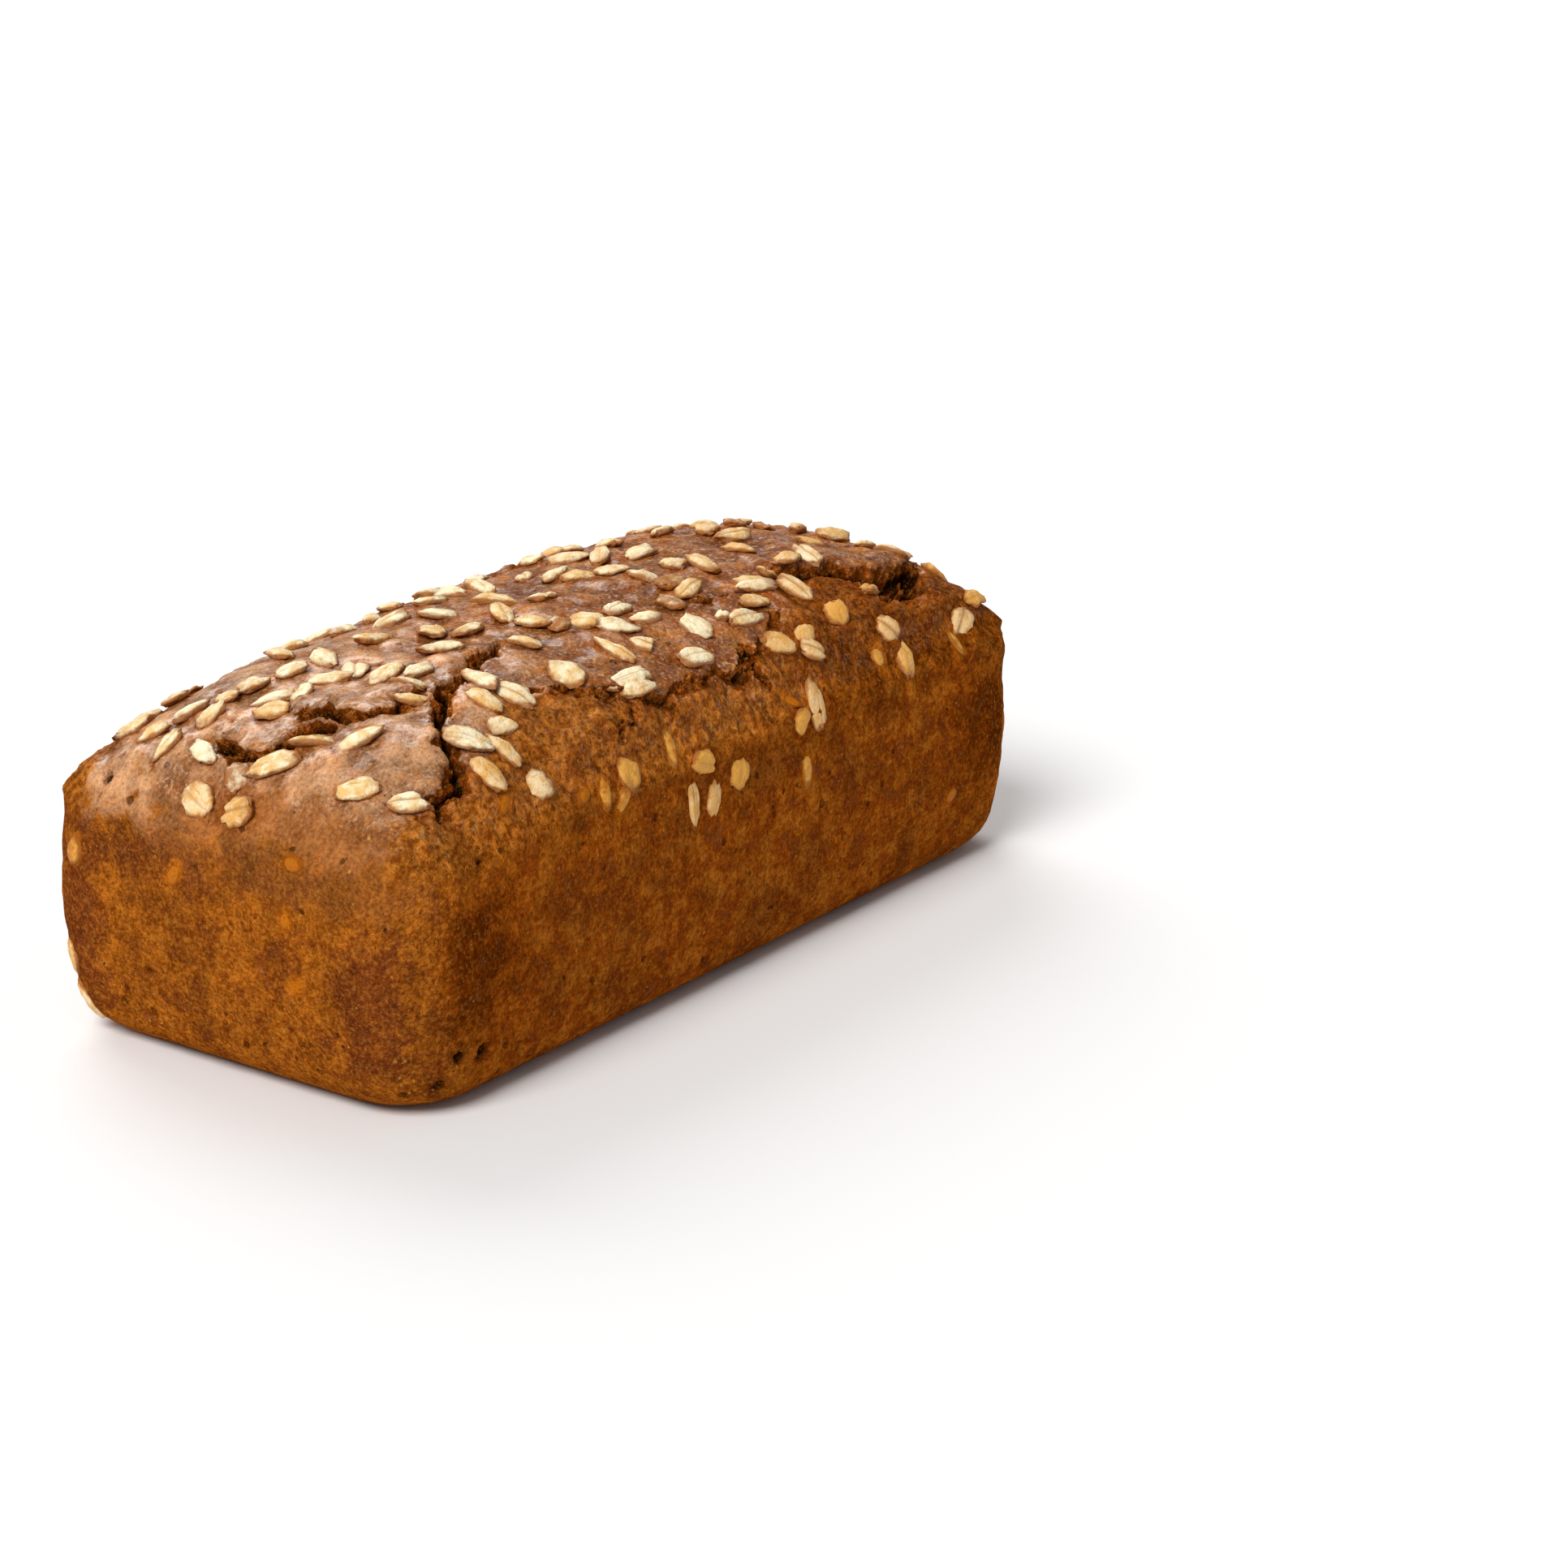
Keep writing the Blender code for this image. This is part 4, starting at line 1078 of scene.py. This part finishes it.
class Bench:
    """A node tree, with short ways to add the nodes of these finishes. A mark's name stands for its value."""

    def __init__(self, tree):
        self.tree = tree

    def add(self, kind, inputs=None, **settings):
        made = self.tree.nodes.new("ShaderNode" + kind)
        for name, value in settings.items():
            setattr(made, name, value)
        for socket, value in (inputs or {}).items():
            self.feed(made.inputs[socket], value)
        return made

    def out(self, kind, inputs=None, **settings):
        """The first output of a new node."""
        return self.add(kind, inputs, **settings).outputs[0]

    def feed(self, socket, value):
        if isinstance(value, str):
            value = self.add("Attribute", attribute_name=value).outputs["Fac"]
        if isinstance(value, bpy.types.NodeSocket):
            self.tree.links.new(value, socket)
        else:
            socket.default_value = value

    def place(self):
        return self.add("TexCoord").outputs["Object"]

    def maths(self, operation, first, second=0.0):
        return self.out("Math", {0: first, 1: second}, operation=operation)

    def times(self, first, second):
        return self.maths("MULTIPLY", first, second)

    def sum_of(self, *terms):
        """Values added up, each as (value, weight)."""
        total = 0.0
        for value, weight in terms:
            total = self.out("Math", {0: value, 1: weight, 2: total}, operation="MULTIPLY_ADD")
        return total

    def vectors(self, operation, first, second):
        return self.out("VectorMath", {0: first, 1: second}, operation=operation)

    def noise(self, place, size, detail=2.0, roughness=0.5):
        inputs = {"Vector": place, "Scale": 1.0 / size, "Detail": detail, "Roughness": roughness}
        return self.out("TexNoise", inputs)

    def ramp(self, value, low, high, start=0.0, end=1.0):
        inputs = {"Value": value, "From Min": low, "From Max": high, "To Min": start, "To Max": end}
        return self.out("MapRange", inputs, interpolation_type="SMOOTHSTEP")

    def blend(self, share, first, second, how="MIX"):
        made = self.add("Mix", {0: share, 6: first, 7: second}, data_type="RGBA", blend_type=how)
        return made.outputs[2]

    def layers(self, colour, *layers):
        """Colours laid over one another, each as (colour, value, low, high, most): it comes in as the value
        rises from low to high, and covers that much at most."""
        for over, value, low, high, most in layers:
            colour = self.blend(self.ramp(value, low, high, 0.0, most), colour, over)
        return colour

    def shade(self, colour, brightness):
        grey = self.out("CombineColor", dict.fromkeys((0, 1, 2), brightness))
        return self.blend(1.0, colour, grey, "MULTIPLY")

    def bump(self, height, distance, strength=1.0):
        return self.out("Bump", {"Height": height, "Distance": distance, "Strength": strength})

    def use(self, group, **inputs):
        return self.add("Group", inputs, node_tree=group).outputs


def new_group(name, takes, gives):
    """A shader node group, its bench, its inputs and its outputs."""
    tree = bpy.data.node_groups.new(name, "ShaderNodeTree")
    for way, sockets in (("INPUT", takes), ("OUTPUT", gives)):
        for socket, kind in sockets.items():
            tree.interface.new_socket(socket, in_out=way, socket_type="NodeSocket" + kind)
    taken = tree.nodes.new("NodeGroupInput").outputs
    given = tree.nodes.new("NodeGroupOutput").inputs
    return tree, Bench(tree), taken, given


def speckle_group():
    """Fine light and dark specks: a mask for each, and a height for bumps."""
    tree, bench, takes, gives = new_group(
        "fine_speckle",
        {"Place": "Vector", "Size": "Float", "Contrast": "Float"},
        {"Light": "Float", "Dark": "Float", "Height": "Float"},
    )
    scale = bench.maths("DIVIDE", 1.0, takes["Size"])
    small = bench.out("TexNoise", {"Vector": takes["Place"], "Scale": scale, "Detail": 2.0, "Roughness": 0.6})
    bench.feed(gives["Light"], bench.times(bench.maths("SUBTRACT", small, 0.5), takes["Contrast"]))
    bench.feed(gives["Dark"], bench.times(bench.maths("SUBTRACT", 0.5, small), takes["Contrast"]))
    bench.feed(gives["Height"], small)
    return tree


def dots_group():
    """Scattered round spots of uneven size, such as pores or bran: a mask from 0 to 1."""
    tree, bench, takes, gives = new_group(
        "scattered_dots",
        {"Place": "Vector", "Spacing": "Float", "Fullness": "Float"},
        {"Mask": "Float"},
    )
    # The place is pushed about by finer noise, so that no spot comes out as a perfect disc
    scale = bench.maths("DIVIDE", 1.0, takes["Spacing"])
    bent = bench.add("TexNoise", {"Vector": takes["Place"], "Scale": bench.times(scale, 2.2), "Detail": 3.0})
    push = bench.vectors("SUBTRACT", bent.outputs["Color"], (0.5, 0.5, 0.5))
    push = bench.vectors("MULTIPLY", push, bench.times(takes["Spacing"], 0.4))
    pushed = bench.vectors("ADD", takes["Place"], push)
    # Each cell holds one spot, whose size is drawn with the cell's own chance
    cells = bench.add("TexVoronoi", {"Vector": pushed, "Scale": scale})
    chance = bench.out("SeparateColor", {0: cells.outputs["Color"]})
    reach = bench.times(bench.maths("POWER", chance, 2.0), takes["Fullness"])
    reach = bench.times(reach, bench.ramp(bent.outputs[0], 0.3, 0.7, 0.5, 1.5))
    share = bench.maths("DIVIDE", cells.outputs["Distance"], bench.maths("ADD", reach, 0.001))
    bench.feed(gives["Mask"], bench.ramp(share, 1.0, 0.55))
    return tree


def new_material(name, roughness, specular):
    """A material, its bench and its shader's sockets."""
    material = bpy.data.materials.new(name)
    material.use_nodes = True
    shader = material.node_tree.nodes["Principled BSDF"].inputs
    shader["Roughness"].default_value = roughness
    shader["Specular IOR Level"].default_value = specular
    return material, Bench(material.node_tree), shader


def crust_finish(speckle, dots):
    material, bench, shader = new_material("baked_crust", roughness=0.7, specular=0.0)
    place = bench.place()
    mottling = (BROAD, PATCHY, LUMPY, GLOSSY, GRAINY, SMALL, DUSTY)
    broad, patchy, lumpy, gloss, grainy, small, dust = (bench.noise(place, *kind) for kind in mottling)
    veins = bench.noise(bench.vectors("MULTIPLY", place, (1.0, 1.0, 0.4)), *VEINED)
    crumbly = bench.sum_of((grainy, 0.5), (small, 0.5))
    sway = bench.maths("SUBTRACT", lumpy, 0.5)

    # Walls that stood in the tin
    redder = bench.sum_of((lumpy, 1.0), ("side", 0.1))
    browner = bench.sum_of(("corner_mauve", 0.52), ("rim", 0.36), (sway, 1.6), (grainy, 0.7))
    wall = bench.layers(
        WALL_GOLD,
        (WALL_BROWN, crumbly, 0.36, 0.64, 1.0),
        (WALL_FLECK, small, 0.56, 0.72, 0.5),
        (WALL_RUST, redder, 0.5, 0.68, 0.8),
        (WALL_MAUVE, broad, 0.52, 0.66, 0.35),
        (WALL_MAUVE, browner, 0.3, 0.95, 0.8),
    )
    wall = bench.blend(bench.times("corner_dark", 0.7), wall, WALL_RUST)
    darker = bench.sum_of(("corner_dark", 0.6), ("foot", 0.2), (sway, 0.9), (grainy, 0.6))
    wall = bench.layers(wall, (CORNER_DARK, darker, 0.38, 1.1, 0.85))
    # Painted light and shade along the top of the near end: a tan for light from above, darker towards the
    # front corner
    shoulder = bench.ramp(bench.sum_of(("shoulder", 1.0), (sway, 2.0)), 0.0, 0.8, 0.0, 0.9)
    wall = bench.blend(bench.times(shoulder, 0.7), wall, SHOULDER_LIGHT_AND_SHADE)

    # Crown skin, and the flank where it has torn away
    # Painted sheen on the skin: paler towards the near end and on the crests of its relief
    painted_sheen = bench.sum_of(("pale", 0.8), (sway, 2.0), ("relief", 0.5))
    skin = bench.layers(
        SKIN_TAN,
        (SKIN_MAUVE, lumpy, 0.38, 0.6, 1.0),
        (SKIN_DARK, grainy, 0.54, 0.7, 0.7),
        (SKIN_RUST, patchy, 0.5, 0.64, 0.75),
        (SKIN_PAINTED_SHEEN, painted_sheen, 0.1, 1.0, 0.8),
    )
    skin = bench.blend(shoulder, skin, SHOULDER_LIGHT_AND_SHADE)
    flank = bench.layers(
        FLANK_GOLD,
        (FLANK_BROWN, grainy, 0.4, 0.6, 1.0),
        (FLANK_SPECK, veins, 0.56, 0.7, 0.6),
        (WALL_RUST, lumpy, 0.5, 0.66, 0.5),
    )
    # Painted shade over the far part of the front flank: darker and warmer there
    flank = bench.blend("burst", flank, FLANK_FAR_SHADE, "MULTIPLY")
    bare = bench.ramp(bench.sum_of(("flank", 1.0), (sway, 2.4)), 0.15, 0.75)
    risen = bench.ramp(bench.sum_of(("crown", 1.0), (sway, 1.8)), 0.15, 0.85)
    colour = bench.blend(risen, wall, bench.blend(bare, skin, flank))

    # Grains just under the crust, and darker rings round the flakes: partly oily stain, partly painted
    # contact shadow
    under = bench.sum_of(("kernel", 1.0), (sway, 0.8))
    colour = bench.layers(colour, (KERNEL_GOLD, under, 0.2, 0.9, 0.65))
    halo_share = bench.times("oily_halo_and_shade", bench.ramp(grainy, 0.36, 0.6, 0.3, 0.8))
    colour = bench.blend(halo_share, colour, SKIN_RUST)

    # Torn places
    torn = bench.layers(
        TORN_ORANGE, (TORN_BROWN, grainy, 0.36, 0.56, 1.0), (TORN_CRUMB, small, 0.58, 0.7, 0.45)
    )
    torn_here = bench.ramp(bench.sum_of(("torn", 1.0), (sway, 1.0)), 0.2, 0.5)
    colour = bench.blend(torn_here, colour, torn)
    edge = bench.times("lip", bench.ramp(grainy, 0.4, 0.6, 0.1, 0.6))
    colour = bench.blend(edge, colour, TORN_ORANGE)
    # Painted shade in the hollows of the crags and wrinkles, and painted light on their crests
    colour = bench.shade(colour, bench.ramp("relief", -1.0, 1.0, 0.66, 1.3))
    # Painted shade at the bottom of tears and pits
    colour = bench.layers(colour, (TORN_DEEP_SHADE, "deep", 0.1, 0.75, 1.0))

    # Unevenness of the bake
    colour = bench.shade(colour, bench.ramp(broad, 0.3, 0.7, 1.14, 0.82))
    uneven = bench.sum_of((crumbly, 0.6), (lumpy, 0.4))
    colour = bench.shade(colour, bench.ramp(uneven, 0.38, 0.62, 1.2, 0.8))

    # Specks and bran, fewer on the long walls
    fine = bench.use(speckle, Place=place, Size=CRUST_SPECK_SIZE, Contrast=1.9)
    lit = bench.ramp("side", 0.0, 1.0, 0.5, 0.34)
    colour = bench.blend(bench.times(fine["Light"], lit), colour, SPECK_PALE)
    colour = bench.blend(fine["Dark"], colour, SPECK_DARK)
    bran = bench.use(dots, Place=place, Spacing=BRAN_SPACING, Fullness=0.34)["Mask"]
    bran = bench.times(bran, bench.ramp(grainy, 0.46, 0.6, 0.0, lit))
    colour = bench.blend(bran, colour, SPECK_PALE)

    # Pale specks and painted glints over the glazed skin, where its gloss is, and pores
    glazed = bench.times(bench.ramp("crown", 0.7, 1.0), bench.maths("SUBTRACT", 1.0, torn_here))
    dull = bench.ramp(bench.maths("MAXIMUM", bare, shoulder), 0.0, 1.0, 1.0, 0.25)
    glazed = bench.times(glazed, dull)
    specks_and_glints = bench.times(bench.ramp(dust, 0.48, 0.66), bench.ramp(gloss, 0.4, 0.6, 0.1, 0.5))
    colour = bench.blend(bench.times(specks_and_glints, glazed), colour, SKIN_SPECKS_AND_GLINTS)
    pores = bench.use(dots, Place=place, Spacing=PORE_SPACING, Fullness=0.22)["Mask"]
    # Pores: painted shade in small pits, which the bump also dents
    bench.feed(shader["Base Color"], bench.blend(bench.times(pores, 0.6), colour, PORE_SHADE))

    # Fine relief, and the gloss of the skin
    relief = bench.sum_of((fine["Height"], 0.25), (small, 0.7), (grainy, 1.6), (bran, 0.1), (pores, -0.8))
    smoother = bench.ramp(bench.maths("SUBTRACT", risen, torn_here), 0.0, 1.0, 1.0, 0.75)
    bench.feed(shader["Normal"], bench.bump(relief, CRUST_RELIEF, smoother))
    wet = bench.times(glazed, bench.ramp(gloss, 0.38, 0.62, 0.15, 1.0))
    bench.feed(shader["Coat Weight"], bench.times(wet, bench.ramp("pale", 0.0, 1.0, 0.7, 1.0)))
    shader["Coat Roughness"].default_value = 0.26
    return material


def flake_finish(speckle):
    material, bench, shader = new_material("rolled_barley", roughness=0.6, specular=0.2)
    place = bench.place()
    blotches = bench.noise(place, *FLAKE_BLOTCHES)

    # Fine lines run along each flake, and differ from one flake to the next
    cross = {0: bench.times("along", 0.9), 1: bench.times("across", 3.4), 2: bench.times("ripeness", 40.0)}
    lines = bench.noise(bench.out("CombineXYZ", cross), 0.8)
    ripe = bench.sum_of(("ripeness", 0.5), (bench.ramp(blotches, 0.36, 0.66), 0.5))
    golden = bench.sum_of(("golden", 1.0), (blotches, 0.5))
    # Browner towards each flake's sides and underside: partly toasting, partly painted shade where it turns
    # from the light
    rim = bench.sum_of(("top", -1.0), (blotches, 0.8))
    colour = bench.layers(
        FLAKE_PALE,
        (FLAKE_GOLD, ripe, 0.15, 0.95, 1.0),
        (FLAKE_AMBER, golden, 0.1, 1.3, 1.0),
        (FLAKE_LINE, lines, 0.58, 0.7, 0.4),
        (FLAKE_LINE, "crease", 0.35, 0.9, 0.7),
        (FLAKE_TOAST, rim, -0.45, 0.2, 0.9),
    )
    toast = bench.times("toast", bench.ramp(blotches, 0.3, 0.6, 0.35, 0.9))
    colour = bench.blend(toast, colour, FLAKE_TOAST)
    fine = bench.use(speckle, Place=place, Size=FLAKE_SPECK_SIZE, Contrast=1.0)
    bench.feed(shader["Base Color"], bench.blend(fine["Dark"], colour, FLAKE_LINE))
    relief = bench.sum_of((lines, -0.15), (blotches, 0.9), (fine["Height"], 0.2))
    bench.feed(shader["Normal"], bench.bump(relief, FLAKE_RELIEF))
    return material


def grain_finish(speckle):
    material, bench, shader = new_material("baked_grain", roughness=0.5, specular=0.05)
    place = bench.place()
    blotches = bench.noise(place, *GRAIN_BLOTCHES)
    ripe = bench.sum_of(("ripeness", 1.0), (bench.ramp(blotches, 0.3, 0.7), 0.6))
    # Browner towards each grain's edges: partly painted shade round its rounded top, partly the crust's brown
    # where it meets it
    edge = bench.sum_of(("top", -1.0), (blotches, 0.8))
    colour = bench.layers(
        GRAIN_AMBER, (GRAIN_BROWN, ripe, 0.2, 1.1, 1.0), (FLANK_BROWN, edge, -0.4, 0.35, 0.7)
    )
    fine = bench.use(speckle, Place=place, Size=GRAIN_SPECK_SIZE, Contrast=1.4)
    bench.feed(shader["Base Color"], bench.blend(fine["Dark"], colour, SPECK_DARK))
    bench.feed(shader["Normal"], bench.bump(blotches, GRAIN_RELIEF))
    return material


def floor_finish():
    material, _, shader = new_material("pale_floor", roughness=0.7, specular=0.2)
    shader["Base Color"].default_value = FLOOR_PALE
    return material


# Studio


def make_floor():
    deselect_all()
    bpy.ops.mesh.primitive_plane_add(size=FLOOR_SIZE)
    floor = bpy.context.object
    floor.name = "floor"
    floor.data.materials.append(floor_finish())


def hang_lamps():
    for name, lamp in LAMPS.items():
        light = bpy.data.lights.new(name, "SUN")
        light.energy = lamp.strength
        light.angle = math.radians(lamp.softness)
        thing = bpy.data.objects.new(name, light)
        thing.rotation_euler = (0.0, math.radians(90 - lamp.elevation), math.radians(lamp.azimuth))
        bpy.context.scene.collection.objects.link(thing)
    room = bpy.data.worlds.new("studio")
    room.use_nodes = True
    background = room.node_tree.nodes["Background"].inputs
    background["Color"].default_value = (1.0, 1.0, 1.0, 1.0)
    background["Strength"].default_value = ROOM_STRENGTH
    bpy.context.scene.world = room
    bpy.context.scene.view_settings.view_transform = "Standard"


def set_camera():
    lens = bpy.data.cameras.new("camera")
    lens.sensor_width = SENSOR_WIDTH_MM
    lens.lens = SENSOR_WIDTH_MM * FOCAL_PIXELS / PHOTO_PIXELS
    camera = bpy.data.objects.new("camera", lens)
    camera.location = CAMERA_PLACE
    camera.rotation_euler = (math.pi / 2 - CAMERA_PITCH, 0.0, CAMERA_HEADING - math.pi / 2)
    bpy.context.scene.collection.objects.link(camera)
    bpy.context.scene.camera = camera


def main():
    cad_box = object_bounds()
    # The rags along the tears come out the same every time
    noise.seed_set(RAG_SEED)
    set_camera()
    hang_lamps()
    make_floor()
    deselect_all()
    speckle = speckle_group()
    dots = dots_group()
    crust = make_crust(cad_box)
    crust.data.materials.append(crust_finish(speckle, dots))
    flakes = make_flakes(crust, cad_box)
    flakes.data.materials.append(flake_finish(speckle))
    grains = make_grains(crust, cad_box)
    grains.data.materials.append(grain_finish(speckle))
    for piece, slot in ((crust, "crust"), (flakes, "flakes"), (grains, "crust")):
        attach(piece, "root")
    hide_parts("loaf")


main()
